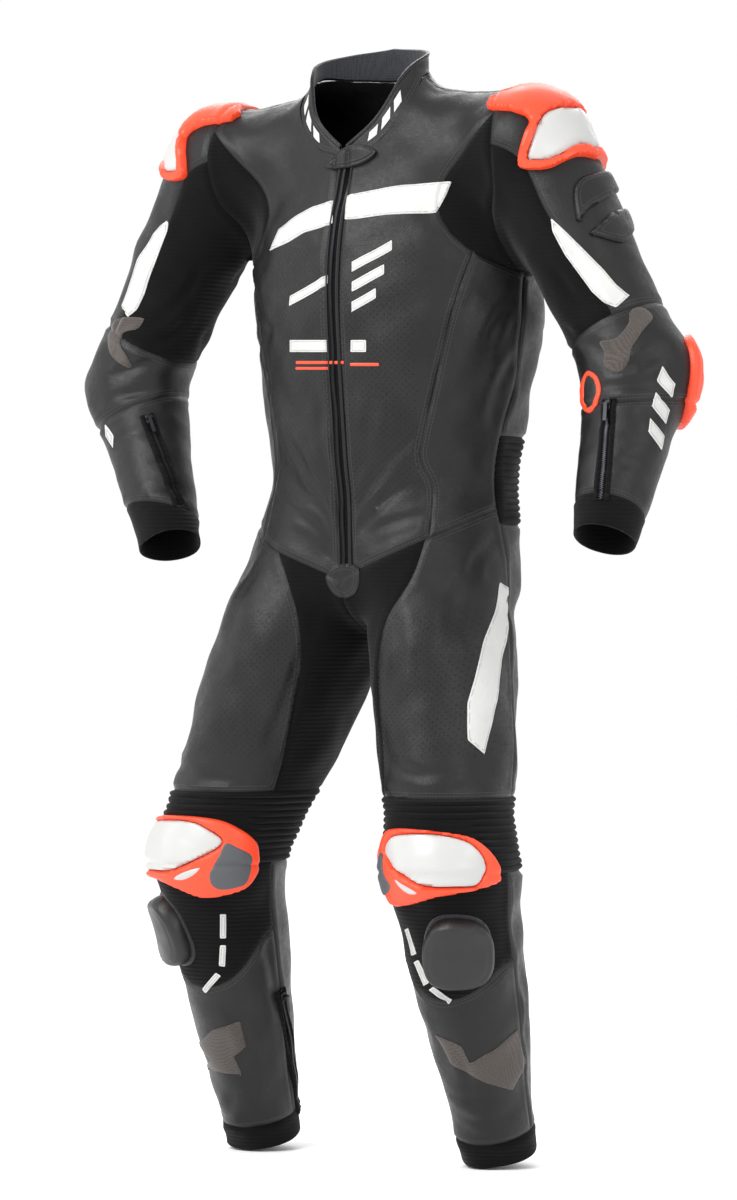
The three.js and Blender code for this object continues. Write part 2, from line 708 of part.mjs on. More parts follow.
// A thin blade that opens one seam by the seam gap.
function seamBlade({ view, from, to, line }) {
  const curve = new THREE.SplineCurve(line.map(([h, z]) => new THREE.Vector2(h, z)));
  const samples = curve.getPoints(line.length - 1);
  const near = [];
  const far = [];
  samples.forEach((p, i) => {
    const before = samples[Math.max(i - 1, 0)];
    const after = samples[Math.min(i + 1, samples.length - 1)];
    const run = after.clone().sub(before).normalize();
    const aside = new THREE.Vector2(-run.y, run.x).multiplyScalar(SEAM_GAP / 2);
    near.push(p.clone().add(aside));
    far.push(p.clone().sub(aside));
  });
  const shape = new THREE.Shape([...near, ...far.reverse()]);
  const geometry = new THREE.ExtrudeGeometry(shape, { depth: to - from, bevelEnabled: false, steps: 1 });
  const turn = new THREE.Matrix4();
  if (view === "front") {
    turn.makeBasis(new THREE.Vector3(1, 0, 0), new THREE.Vector3(0, 0, 1), new THREE.Vector3(0, -1, 0));
    turn.setPosition(0, to, 0);
  } else {
    turn.makeBasis(new THREE.Vector3(0, 1, 0), new THREE.Vector3(0, 0, 1), new THREE.Vector3(1, 0, 0));
    turn.setPosition(from, 0, 0);
  }
  return solidOf(geometry.applyMatrix4(turn));
}
const blades = SEAMS.map(seamBlade);

// Cuts a wall along every seam that crosses it and gives the parts.
function cutApart(uncut) {
  let left = uncut;
  for (const blade of blades) left = left.subtract(blade);
  return left.decompose();
}

function nearestPart(parts, seed) {
  const goal = new THREE.Vector3(...seed);
  const p = new THREE.Vector3();
  let best = null;
  let bestGap = Infinity;
  for (const part of parts) {
    const mesh = part.getMesh();
    const v = mesh.vertProperties;
    for (let i = 0; i < v.length; i += 3) {
      const gap = p.set(v[i], v[i + 1], v[i + 2]).distanceTo(goal);
      if (gap < bestGap) {
        bestGap = gap;
        best = part;
      }
    }
  }
  return best;
}

// Sewn-on strips: a path over the cloth with a half width at each point, and a profile across it.
const FLAT = [{ share: -1, rise: 1.2 }, { share: 1, rise: 1.2 }];
const TAB = [{ share: -1, rise: 1.8 }, { share: 0, rise: 3.2 }, { share: 1, rise: 1.8 }];
const ZIP = [
  { share: -1, rise: 0.8 },
  { share: -0.32, rise: 0.8 },
  { share: -0.26, rise: 2.8 },
  { share: 0.26, rise: 2.8 },
  { share: 0.32, rise: 0.8 },
  { share: 1, rise: 0.8 },
];

function slab(top, bottom) {
  const rows = top.length;
  const columns = top[0].length;
  const place = [];
  for (const grid of [top, bottom]) grid.flat().forEach((p) => place.push(p.x, p.y, p.z));
  const spot = (layer, j, i) => layer * rows * columns + j * columns + i;
  const faces = [];
  const quad = (a, b, c, d) => faces.push([a, b, c], [a, c, d]);
  const last = [rows - 1, columns - 1];
  for (let j = 0; j + 1 < rows; j += 1) {
    for (let i = 0; i + 1 < columns; i += 1) {
      quad(spot(0, j, i), spot(0, j, i + 1), spot(0, j + 1, i + 1), spot(0, j + 1, i));
      quad(spot(1, j, i), spot(1, j + 1, i), spot(1, j + 1, i + 1), spot(1, j, i + 1));
    }
    quad(spot(0, j, 0), spot(0, j + 1, 0), spot(1, j + 1, 0), spot(1, j, 0));
    quad(spot(0, j, last[1]), spot(1, j, last[1]), spot(1, j + 1, last[1]), spot(0, j + 1, last[1]));
  }
  for (let i = 0; i + 1 < columns; i += 1) {
    quad(spot(0, 0, i), spot(1, 0, i), spot(1, 0, i + 1), spot(0, 0, i + 1));
    quad(spot(0, last[0], i), spot(0, last[0], i + 1), spot(1, last[0], i + 1), spot(1, last[0], i));
  }
  const made = () => solid(Float32Array.from(place), Uint32Array.from(faces.flat()));
  const body = made();
  if (body.volume() > 0) return body;
  faces.forEach((face) => face.reverse());
  return made();
}

// The place, outward direction, run and half width at a share of a path's length.
function frameOn({ path }, share) {
  const curve = new THREE.CatmullRomCurve3(path.map((p) => new THREE.Vector3(p.x, p.y, p.z)));
  const middle = settle(curve.getPoint(share));
  const normal = slopeAt(middle).normalize();
  const run = curve.getTangent(share);
  run.addScaledVector(normal, -run.dot(normal)).normalize();
  const side = new THREE.Vector3().crossVectors(run, normal);
  const place = share * (path.length - 1);
  const i = Math.min(Math.floor(place), path.length - 2);
  const half = path[i].half + (path[i + 1].half - path[i].half) * (place - i);
  return { middle, normal, run, side, half };
}

function strip(row, profile, base) {
  const top = [];
  const bottom = [];
  for (let i = 0; i <= row.samples; i += 1) {
    const frame = frameOn(row, i / row.samples);
    const spots = profile.map(({ share, rise }) => {
      const p = settle(frame.middle.clone().addScaledVector(frame.side, frame.half * share));
      return { p, rise, normal: slopeAt(p).normalize() };
    });
    top.push(spots.map(({ p, rise, normal }) => p.clone().addScaledVector(normal, base + rise)));
    bottom.push(spots.map(({ p, normal }) => p.clone().addScaledVector(normal, base)));
  }
  return slab(top, bottom);
}

const on = (x, y, z, half) => ({ x, y, z, half });
const flip = (row) => ({ samples: row.samples, path: row.path.map((p) => on(-p.x, p.y, p.z, p.half)) });
const BAND_R = {
  samples: 4,
  path: [on(-106, -86, -159, 2), on(-55, -102, -145, 12), on(-15, -117, -131, 22)],
};
const BAND_L = { samples: 5, path: [on(17, -113, -127, 22), on(80, -93, -114, 19), on(132, -71, -104, 15)] };
const SLEEVE_BLADE = {
  samples: 6,
  path: [on(274, -78, -136, 3), on(300, -72, -176, 12), on(328, -66, -215, 12), on(346, -64, -244, 7)],
};
const THIGH_BLADE = {
  samples: 7,
  path: [
    on(168, 8, -566, 4),
    on(175, -22, -622, 9),
    on(181, -58, -690, 15),
    on(187, -84, -738, 17),
    on(190, -93, -762, 8),
  ],
};
const COLLAR_TAB = { samples: 4, path: [on(-24, -92, -55, 3), on(8, -96, -54, 13), on(42, -90, -58, 3)] };
const MAIN_CHAIN = {
  samples: 9,
  path: [
    on(6, -93, -58, 3),
    on(-1, -110, -130, 3),
    on(2, -121, -290, 3),
    on(7, -110, -450, 3),
    on(9, -103, -545, 3),
  ],
};
const FOREARM_ZIP = {
  L: { samples: 5, path: [on(353, -87, -353, 9), on(358, -108, -412, 9), on(363, -127, -470, 9)] },
  R: { samples: 5, path: [on(-297, -69, -355, 9), on(-268, -77, -412, 9), on(-239, -84, -468, 9)] },
};
const LEG_ZIP = {
  R: { samples: 6, path: [on(-124, -36, -1064, 9), on(-134, 4, -1142, 9), on(-149, 50, -1222, 9)] },
  L: { samples: 6, path: [on(80, -36, -1064, 9), on(86, 4, -1142, 9), on(99, 50, -1222, 9)] },
};

// Cups and sliders: a net of directions from a middle inside the limb, its points moved out from the cloth.
const CUP_COLUMNS = 14;
const CUP_RINGS = [
  { share: 0.45, rise: 11 },
  { share: 0.74, rise: 9.5 },
  { share: 0.8, rise: 7.5 },
  { share: 0.88, rise: 11 },
  { share: 1, rise: 5 },
];
const SLIDER_RINGS = [
  { share: 0.5, rise: 21 },
  { share: 0.82, rise: 20 },
  { share: 0.94, rise: 15 },
  { share: 1, rise: 3 },
];
const UNDER_RINGS = [
  { share: 1, rise: 0 },
  { share: 0.7, rise: 0 },
  { share: 0.36, rise: 0 },
];

function cup({ middle, toward, up, wide, high, fullness }, rings, base) {
  const heart = new THREE.Vector3(...middle);
  const out = new THREE.Vector3(...toward).normalize();
  const rise = new THREE.Vector3(...up);
  rise.addScaledVector(out, -rise.dot(out)).normalize();
  const side = new THREE.Vector3().crossVectors(rise, out);
  const reach = castOut(heart, out).distanceTo(heart);
  const place = [];
  const put = (share, turn, lift) => {
    const c = Math.cos(turn);
    const s = Math.sin(turn);
    const size = share / Math.pow(Math.abs(c) ** fullness + Math.abs(s) ** fullness, 1 / fullness);
    const direction = out.clone().multiplyScalar(reach);
    direction.addScaledVector(side, size * c * wide).addScaledVector(rise, size * s * high);
    const p = castOut(heart, direction);
    p.addScaledVector(slopeAt(p).normalize(), base + lift);
    return place.push(p.x, p.y, p.z) / 3 - 1;
  };
  const turns = Array.from({ length: CUP_COLUMNS }, (_, i) => (2 * Math.PI * i) / CUP_COLUMNS);
  const loop = ({ share, rise: lift }) => turns.map((turn) => put(share, turn, lift));
  const loops = [...rings, ...UNDER_RINGS].map(loop);
  const first = put(0, 0, rings[0].rise);
  const last = put(0, 0, 0);
  const faces = [];
  for (let i = 0; i < CUP_COLUMNS; i += 1) {
    const next = (i + 1) % CUP_COLUMNS;
    faces.push([first, loops[0][i], loops[0][next]]);
    for (let j = 1; j < loops.length; j += 1) {
      const [above, below] = [loops[j - 1], loops[j]];
      faces.push([above[i], below[i], below[next]], [above[i], below[next], above[next]]);
    }
    const end = loops[loops.length - 1];
    faces.push([end[i], last, end[next]]);
  }
  return solid(Float32Array.from(place), Uint32Array.from(faces.flat()));
}
const SHOULDER_SIZE = { wide: 66, high: 62, fullness: 2.6 };
const SHOULDER_CUP = {
  L: { middle: [205, -8, -70], toward: [0.72, -0.34, 0.6], up: [-0.25, -0.1, 1], ...SHOULDER_SIZE },
  R: { middle: [-205, -8, -70], toward: [-0.72, -0.34, 0.6], up: [0.25, -0.1, 1], ...SHOULDER_SIZE },
};
const ELBOW_SIZE = { wide: 46, high: 58, fullness: 2.3 };
const ELBOW_CUP = {
  L: { middle: [350, -8, -322], toward: [0.8, 0.6, -0.12], up: [0.1, 0, 1], ...ELBOW_SIZE },
  R: { middle: [-350, -8, -318], toward: [-0.8, 0.6, -0.12], up: [-0.1, 0, 1], ...ELBOW_SIZE },
};
const KNEE_SIZE = { wide: 68, high: 48, fullness: 3 };
const KNEE_CUP = {
  L: { middle: [148, -84, -893], toward: [0.05, -1, 0], up: [0, 0, 1], ...KNEE_SIZE },
  R: { middle: [-185, -84, -888], toward: [-0.14, -1, 0], up: [0, 0, 1], ...KNEE_SIZE },
};
const SLIDER_SIZE = { wide: 34, high: 37, fullness: 3.4 };
const SLIDER = {
  L: { middle: [146, -60, -998], toward: [0.42, -1, 0.02], up: [0, 0.1, 1], ...SLIDER_SIZE },
  R: { middle: [-188, -60, -994], toward: [-0.62, -1, 0.02], up: [0, 0.1, 1], ...SLIDER_SIZE },
};

// Collar stand: level of its top edge by the turn from the centre front. It is open at the front.
const COLLAR_TOP = [
  { turn: 0, z: -42 },
  { turn: 30, z: -8 },
  { turn: 60, z: 42 },
  { turn: 90, z: 68 },
  { turn: 135, z: 84 },
  { turn: 180, z: 91 },
];
const COLLAR_OPENING = 3;
const COLLAR_CAST_TOP = 56;
const COLLAR_ROWS = 3;
const COLLAR_SEAM = 0.6;
function collarBand(outer, inner, start) {
  const step = 180 / (HALF_COLUMNS - 2 * SHOULDER_COLUMNS);
  const turns = [COLLAR_OPENING];
  for (let turn = step; turn < 360 - step / 2; turn += step) turns.push(turn);
  turns.push(360 - COLLAR_OPENING);
  const grids = [[], []];
  for (const turn of turns) {
    const bare = turn > 180 ? 360 - turn : turn;
    const low = along(NECKLINE, "turn", "z", bare) + COLLAR_SEAM;
    const high = along(COLLAR_TOP, "turn", "z", bare);
    const angle = (turn * Math.PI) / 180;
    const out = new THREE.Vector3(Math.sin(angle), -Math.cos(angle), 0);
    const columns = [[], []];
    for (let j = 0; j <= COLLAR_ROWS; j += 1) {
      const level = Math.max(low + ((high - low) * j) / COLLAR_ROWS, low + start);
      const cast = Math.min(level, COLLAR_CAST_TOP);
      const neck = LIMBS.neck;
      const middle = neck.start.clone().addScaledVector(neck.axis, (cast - neck.start.z) / neck.axis.z);
      const p = castOut(middle, out);
      const normal = slopeAt(p).normalize();
      p.addScaledVector(neck.axis, (level - cast) / neck.axis.z).addScaledVector(out, (level - cast) * 0.06);
      columns[0].push(p.clone().addScaledVector(normal, -outer));
      columns[1].push(p.clone().addScaledVector(normal, -inner));
    }
    grids[0].push(columns[0]);
    grids[1].push(columns[1]);
  }
  return slab(grids[0], grids[1]);
}

// Zip slider with two ears and a pin, and the pull tab that turns on the pin.
const PIN_LIFT = 7.4;
const PIN_RADIUS = 0.7;
const EYE_RADIUS = 1.1;
const PULL_LONG = 21;
const PULL_WIDE = 4.4;
function block(frame, run, side, lift) {
  const size = [run, side, lift].map(([from, to]) => to - from);
  const geometry = new THREE.BoxGeometry(...size);
  geometry.translate(...[run, side, lift].map(([from, to]) => (from + to) / 2));
  return solidOf(geometry.applyMatrix4(frame));
}
function frameMatrix({ middle, normal, run, side }, base) {
  const frame = new THREE.Matrix4().makeBasis(run, side.clone().negate(), normal);
  return frame.setPosition(middle.clone().addScaledVector(normal, base - 0.5));
}
function zipSlider(frame) {
  const body = block(frame, [-6, 6], [-4.2, 4.2], [0.8, 4.9]);
  const earSides = [[-4.2, -2.8], [2.8, 4.2]];
  const ears = earSides.map((sides) => block(frame, [-2, 2], sides, [4.5, 9.2]));
  const pin = new THREE.CylinderGeometry(PIN_RADIUS, PIN_RADIUS, 7, 8).translate(0, 0, PIN_LIFT);
  return [body, ...ears, solidOf(pin.applyMatrix4(frame))];
}
function pullTab(frame) {
  const outline = new THREE.Shape();
  outline.moveTo(-1.2, -1.8);
  outline.lineTo(PULL_LONG, -0.9);
  outline.lineTo(PULL_LONG, 0.9);
  outline.lineTo(-1.2, 1.8);
  outline.lineTo(-1.9, 0.8);
  outline.lineTo(-1.9, -0.8);
  outline.lineTo(-1.2, -1.8);
  outline.holes.push(new THREE.Path().absarc(0, 0, EYE_RADIUS, 0, 2 * Math.PI, true));
  const settings = { depth: PULL_WIDE, bevelEnabled: false, curveSegments: 8 };
  const geometry = new THREE.ExtrudeGeometry(outline, settings);
  geometry.translate(0, 0, -PULL_WIDE / 2);
  geometry.rotateX(Math.PI / 2);
  geometry.translate(0, 0, PIN_LIFT);
  return solidOf(geometry.applyMatrix4(frame));
}

// Pieces cut from the wall: a name, a point on the cloth that finds the piece, and a material.
const LEATHER = { color: 0x18181b, roughness: 0.42 };
const STRETCH = { color: 0x111113, roughness: 0.9 };
const WHITE = { color: 0xe8e8e6, roughness: 0.4 };
const RED = { color: 0xff3a20, roughness: 0.45 };
const LINING = { color: 0x24252b, roughness: 0.95 };
const METAL = { color: 0x3b3c40, roughness: 0.35, metalness: 0.9 };
const PLASTIC = { color: 0x1c1c1f, roughness: 0.5 };
const SKIN = [
  { name: "back", seed: [0, 145, -200], finish: LEATHER },
  { name: "front_R", seed: [-85, -100, -300], finish: LEATHER },
  { name: "front_L", seed: [85, -100, -300], finish: LEATHER },
  { name: "side_R", seed: [-155, -50, -350], finish: LEATHER },
  { name: "side_L", seed: [155, -50, -350], finish: LEATHER },
  { name: "gusset_R", seed: [-155, -65, -110], finish: STRETCH },
  { name: "gusset_L", seed: [155, -65, -110], finish: STRETCH },
  { name: "sleeve_outer_R", seed: [-330, 0, -120], finish: LEATHER },
  { name: "sleeve_outer_L", seed: [330, 0, -120], finish: LEATHER },
  { name: "sleeve_inner_R", seed: [-235, -60, -180], finish: STRETCH },
  { name: "sleeve_inner_L", seed: [235, -60, -180], finish: STRETCH },
  { name: "elbow_R", seed: [-345, -60, -300], finish: LEATHER },
  { name: "elbow_L", seed: [345, -60, -300], finish: LEATHER },
  { name: "forearm_R", seed: [-310, -100, -400], finish: LEATHER },
  { name: "forearm_L", seed: [352, -105, -420], finish: LEATHER },
  { name: "cuff_R", seed: [-262, -115, -505], finish: STRETCH },
  { name: "cuff_L", seed: [354, -135, -505], finish: STRETCH },
  { name: "thigh_front_R", seed: [-150, -150, -700], finish: LEATHER },
  { name: "thigh_front_L", seed: [130, -140, -700], finish: LEATHER },
  { name: "thigh_back_R", seed: [-150, 80, -650], finish: LEATHER },
  { name: "thigh_back_L", seed: [130, 80, -650], finish: LEATHER },
  { name: "thigh_inner_R", seed: [-40, -60, -650], finish: STRETCH },
  { name: "thigh_inner_L", seed: [50, -60, -650], finish: STRETCH },
  { name: "knee_panel_R", seed: [-188, -145, -980], finish: STRETCH },
  { name: "knee_panel_L", seed: [146, -145, -980], finish: STRETCH },
  { name: "shin_R", seed: [-190, -75, -1130], finish: LEATHER },
  { name: "shin_L", seed: [143, -75, -1130], finish: LEATHER },
  { name: "calf_R", seed: [-188, 60, -1080], finish: LEATHER },
  { name: "calf_L", seed: [143, 60, -1080], finish: LEATHER },
  { name: "hem_R", seed: [-190, -10, -1245], finish: STRETCH },
  { name: "hem_L", seed: [142, -10, -1245], finish: STRETCH },
];

const SIMPLER = 0.12;
const uncut = wall(cells);
const skinParts = cutApart(uncut);
const suit = new THREE.Group();
suit.name = "race_suit";
function addPiece(name, made, finish) {
  const mesh = new THREE.Mesh(geometryOf(made), new THREE.MeshStandardMaterial({ ...finish, name }));
  mesh.name = name;
  suit.add(mesh);
}
for (const { name, seed, finish } of SKIN) {
  addPiece(name, nearestPart(skinParts, seed).simplify(SIMPLER), finish);
}

// Ridged stretch pieces: knees all round, and the lower back.
const KNEE_RINGS = [4, 5, 6, 7, 8];
const KNEE_RIDGE = 3;
const BACK_RINGS = [3, 4, 5, 6, 7, 8];
const BACK_RIDGE = 2.6;
const rangeOf = (from, to) => Array.from({ length: to - from + 1 }, (_, i) => from + i);
const kneeHeight = (p) => KNEE_RIDGE * Math.max(smooth((p.y + 140) / 15), smooth((p.z + 847) / 8));
const kneeCells = (rings, sign) => {
  const around = rangeOf(0, rings[0].length - 1);
  if (sign < 0) around.reverse();
  return ridgedCells(KNEE_RINGS.map((j) => rings[j]), around, true, 3, kneeHeight);
};
const backRings = BACK_RINGS.map((j) => torsoRings[j]);
const backColumns = [...rangeOf(11, 23), 0, 1];
const ridged = [
  { name: "knee_stretch_R", seed: [-180, -165, -860], net: kneeCells(legR, -1) },
  { name: "knee_stretch_L", seed: [145, -165, -860], net: kneeCells(legL, 1) },
  {
    name: "back_stretch",
    seed: [5, 130, -440],
    net: ridgedCells(backRings, backColumns, false, 2, () => BACK_RIDGE),
  },
];
for (const { name, seed, net } of ridged) {
  addPiece(name, nearestPart(cutApart(wall(net)), seed).simplify(SIMPLER), STRETCH);
}

// Lays a strip or a cup as low as it can lie with the seam gap under it.
function laid(make, lowest = 0.5) {
  for (let base = lowest; base < 5; base += 0.25) {
    const made = make(base);
    if (made.minGap(uncut, 1) >= SEAM_GAP) return { made, base };
  }
  throw new Error("a piece can't be laid on the cloth");
}

const chain = strip(MAIN_CHAIN, [{ share: -1, rise: 3 }, { share: 1, rise: 3 }], -1);
addPiece("main_zip", nearestPart(skinParts, [3, -118, -300]).add(chain).simplify(SIMPLER), METAL);
addPiece("collar", collarBand(0, 1.6, 0), LEATHER);
addPiece("collar_lining", collarBand(2.6, 3.8, 3), LINING);
addPiece("collar_tab", laid((base) => strip(COLLAR_TAB, TAB, base), 2.5).made, LEATHER);
addPiece("chest_band_R", laid((base) => strip(BAND_R, FLAT, base)).made, WHITE);
addPiece("chest_band_L", laid((base) => strip(BAND_L, FLAT, base)).made, WHITE);

function addZip(name, row, side, share) {
  const { made, base } = laid((lift) => strip(row, ZIP, lift));
  const frame = frameMatrix(frameOn(row, share), base);
  addPiece(name + "_" + side, wasm.Manifold.union([made, ...zipSlider(frame)]), METAL);
  addPiece(name + "_pull_" + side, pullTab(frame), METAL);
}
for (const side of ["R", "L"]) {
  const turned = (row) => (side === "L" ? row : flip(row));
  addPiece("sleeve_blade_" + side, laid((base) => strip(turned(SLEEVE_BLADE), FLAT, base)).made, WHITE);
  addPiece("thigh_blade_" + side, laid((base) => strip(turned(THIGH_BLADE), FLAT, base)).made, WHITE);
  addPiece("shoulder_cup_" + side, laid((base) => cup(SHOULDER_CUP[side], CUP_RINGS, base)).made, WHITE);
  addPiece("elbow_cup_" + side, laid((base) => cup(ELBOW_CUP[side], CUP_RINGS, base)).made, RED);
  addPiece("knee_cup_" + side, laid((base) => cup(KNEE_CUP[side], CUP_RINGS, base)).made, WHITE);
  addPiece("knee_slider_" + side, laid((base) => cup(SLIDER[side], SLIDER_RINGS, base)).made, PLASTIC);
  addZip("forearm_zip", FOREARM_ZIP[side], side, 0.06);
  addZip("leg_zip", LEG_ZIP[side], side, 0.05);
}

export default suit;
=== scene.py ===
# %% [markdown]
# # One-piece race suit, empty and filled out as worn
# The suit is cut from cowhide and stretch knit, sewn in about forty pieces, with hard cups over the joints.
# It could be draped by a simulation, but nobody is in it to hold it up. So one smooth form stands for the
# filled-out cloth, a net of points is laid on that form, and the net is cut along the seams into its
# pieces. Lengths are in millimetres until a mesh is made. +Z is up, the front faces -Y, the wearer's left
# is +X.

import math

import bpy
import numpy as np
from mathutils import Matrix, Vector


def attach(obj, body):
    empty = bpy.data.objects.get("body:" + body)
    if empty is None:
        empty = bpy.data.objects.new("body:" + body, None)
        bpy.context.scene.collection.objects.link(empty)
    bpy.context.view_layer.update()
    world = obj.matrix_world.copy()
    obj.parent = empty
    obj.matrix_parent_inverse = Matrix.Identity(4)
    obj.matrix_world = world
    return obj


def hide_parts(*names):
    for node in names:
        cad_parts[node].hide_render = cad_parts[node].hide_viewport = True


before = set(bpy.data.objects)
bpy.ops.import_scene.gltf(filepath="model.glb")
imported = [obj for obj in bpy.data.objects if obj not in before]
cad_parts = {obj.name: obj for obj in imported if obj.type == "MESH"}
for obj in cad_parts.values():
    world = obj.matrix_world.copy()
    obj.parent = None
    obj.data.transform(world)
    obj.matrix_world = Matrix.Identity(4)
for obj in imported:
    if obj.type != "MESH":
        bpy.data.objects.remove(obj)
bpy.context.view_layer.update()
MM = 0.001
WALL = 2.0

# %% [markdown]
# ## The garment's form
# A worn suit follows a body with air under it. That body could be sculpted; here it is a number for any
# place, zero on the cloth and negative inside: a stack of torso sections and straight tapering limbs,
# blended softly. Every later step can ask it where the cloth is and which way it faces.

# %%
# height, middle x and y, half width, depth to the front and to the back
TORSO = np.array([
    (-570, 1, 2, 158, 104, 116),
    (-510, 4, 8, 158, 112, 114),
    (-465, 7, 14, 156, 120, 112),
    (-420, 7, 17, 158, 129, 112),
    (-360, 7, 20, 165, 136, 116),
    (-300, 8, 23, 176, 143, 122),
    (-240, 9, 24, 185, 146, 126),
    (-180, 6, 20, 184, 138, 124),
    (-120, 3, 12, 178, 118, 116),
    (-70, 1, 2, 166, 92, 98),
    (-20, 0, -8, 120, 62, 66),
], float)
TORSO_CAP = 46
# axis from and to, then place along it, radius sideways and radius front to back
LIMBS = {
    "neck": ((0, -10, -60), (0, -34, 70), [(0, 84, 74), (1, 72, 62)]),
    "shoulderR": ((-40, -6, -32), (-200, -8, -44), [(0, 66, 64), (0.65, 62, 66), (1, 54, 66)]),
    "shoulderL": ((40, -6, -32), (200, -8, -44), [(0, 66, 64), (0.65, 62, 66), (1, 54, 66)]),
    "upperArmR": (
        (-216, -9, -46), (-354, -6, -314),
        [(0, 64, 72), (0.35, 65, 70), (0.7, 60, 66), (1, 54, 60)],
    ),
    "upperArmL": (
        (212, -9, -48), (352, -6, -317),
        [(0, 64, 72), (0.35, 65, 70), (0.7, 60, 66), (1, 58, 62)],
    ),
    "forearmR": (
        (-354, -6, -314), (-256, -78, -518),
        [(0, 54, 58), (0.25, 54, 56), (0.6, 46, 48), (1, 38, 41)],
    ),
    "forearmL": (
        (352, -6, -317), (354, -102, -515),
        [(0, 58, 60), (0.25, 57, 58), (0.6, 47, 49), (1, 37, 41)],
    ),
    "thighR": (
        (-68, 10, -520), (-181, -88, -895),
        [(0, 80, 104), (0.3, 92, 120), (0.65, 86, 102), (1, 68, 76)],
    ),
    "thighL": (
        (74, 10, -520), (145, -88, -900),
        [(0, 76, 104), (0.3, 80, 112), (0.65, 78, 96), (1, 68, 76)],
    ),
    "shankR": (
        (-181, -88, -895), (-193, 42, -1262),
        [(0, 68, 74), (0.25, 68, 78), (0.55, 60, 66), (0.85, 49, 52), (1, 46, 48)],
    ),
    "shankL": (
        (145, -88, -900), (141, 42, -1262),
        [(0, 68, 74), (0.25, 68, 78), (0.55, 60, 66), (0.85, 49, 52), (1, 46, 48)],
    ),
}
BLEND_BODY, BLEND_NECK, BLEND_ARM, BLEND_ELBOW = 44, 30, 40, 34
BLEND_HIP, BLEND_KNEE, BLEND_CROTCH = 36, 40, 40
# heights that bound where the shoulders and neck, the arms and the legs can reach
SHOULDERS_ABOVE, ARMS_ABOVE, LEGS_BELOW = -320, -700, -300


def along(place, value, at):
    """A smooth curve through value at place: cubic pieces that keep the slopes of the neighbours' chords."""
    place, value = np.asarray(place, float), np.asarray(value, float)
    last = len(place) - 1
    after, before = np.minimum(np.arange(last + 1) + 1, last), np.maximum(np.arange(last + 1) - 1, 0)
    slope = (value[after] - value[before]) / (place[after] - place[before])
    i = np.clip(np.searchsorted(place, at, side="right") - 1, 0, last - 1)
    step = place[i + 1] - place[i]
    t = np.clip((at - place[i]) / step, 0, 1)
    start, end, rise = slope[i] * step, slope[i + 1] * step, value[i + 1] - value[i]
    return value[i] + t * (start + t * ((3 * rise - 2 * start - end) + t * (start + end - 2 * rise)))


def unit(v):
    """Each vector over its own length."""
    return v / np.maximum(np.linalg.norm(v, axis=-1, keepdims=True), 1e-9)


class Limb:
    """A tapering tube round a straight axis, oval in section and round at its ends."""

    def __init__(self, start, end, sections):
        self.start, self.end = np.array(start, float), np.array(end, float)
        self.long = np.linalg.norm(self.end - self.start)
        self.axis = (self.end - self.start) / self.long
        forward = np.array([0, -1.0, 0])
        self.front = unit(forward - self.axis * (forward @ self.axis))
        self.side = np.cross(self.axis, self.front)
        self.at, self.wide, self.deep = np.array(sections, float).T

    def depth(self, p):
        """Roughly the distance outside: the length of (across/wide, forward/deep, past/wide), less one."""
        d = p - self.start
        run = d @ self.axis
        at = np.clip(run / self.long, 0, 1)
        side, deep = along(self.at, self.wide, at), along(self.at, self.deep, at)
        u, v, past = (d @ self.side) / side, (d @ self.front) / deep, (run - at * self.long) / side
        return (np.sqrt(u * u + v * v + past * past) - 1) * np.minimum(side, deep)


LIMB = {name: Limb(*row) for name, row in LIMBS.items()}


def torso_row(level):
    """Middle x and y, half width and both depths of the torso at some heights."""
    return [along(TORSO[:, 0], TORSO[:, k], level) for k in range(1, 6)]


def torso_depth(p):
    """Distance from the torso: |dx/half|^n + |dy/deep|^n to the power 1/n, less one, fuller behind."""
    level = np.clip(p[:, 2], TORSO[0, 0], TORSO[-1, 0])
    x, y, half, front, back = torso_row(level)
    dx, dy = np.abs(p[:, 0] - x) / half, p[:, 1] - y
    deep, full = np.where(dy < 0, front, back), np.where(dy < 0, 1.95, 2.4)
    ring = (dx**full + (np.abs(dy) / deep) ** full) ** (1 / full)
    return (np.hypot(ring, (p[:, 2] - level) / TORSO_CAP) - 1) * np.minimum(half, deep)


def blend(a, b, softness):
    """The lesser of two distances, less h squared times softness/4, where h is how close they are."""
    h = np.maximum(softness - np.abs(a - b), 0) / softness
    return np.minimum(a, b) - h * h * softness / 4


def form(p):
    """Zero on the outer cloth and negative inside, for many points."""
    depth = torso_depth(p)
    z = p[:, 2]
    k = np.flatnonzero(z > SHOULDERS_ABOVE)
    if len(k):
        q = p[k]
        both = blend(LIMB["shoulderR"].depth(q), LIMB["shoulderL"].depth(q), BLEND_BODY)
        d = blend(depth[k], both, BLEND_BODY)
        depth[k] = blend(d, LIMB["neck"].depth(q), BLEND_NECK)
    for side, chosen in (("R", p[:, 0] < 0), ("L", p[:, 0] >= 0)):
        k = np.flatnonzero(chosen & (z > ARMS_ABOVE))
        if len(k):
            q = p[k]
            arm = blend(LIMB["upperArm" + side].depth(q), LIMB["forearm" + side].depth(q), BLEND_ELBOW)
            depth[k] = blend(depth[k], arm, BLEND_ARM)
    k = np.flatnonzero(z < LEGS_BELOW)
    if len(k):
        q = p[k]
        right, left = (
            blend(LIMB["thigh" + s].depth(q), LIMB["shank" + s].depth(q), BLEND_KNEE) for s in "RL"
        )
        depth[k] = blend(depth[k], blend(right, left, BLEND_CROTCH), BLEND_HIP)
    return depth


def slope(p, nudge=0.5):
    """The form's gradient: on each axis, the difference of two nudged places over their distance."""
    out = np.empty_like(p)
    for k in range(3):
        step = np.zeros(3)
        step[k] = nudge
        out[:, k] = (form(p + step) - form(p - step)) / (2 * nudge)
    return out


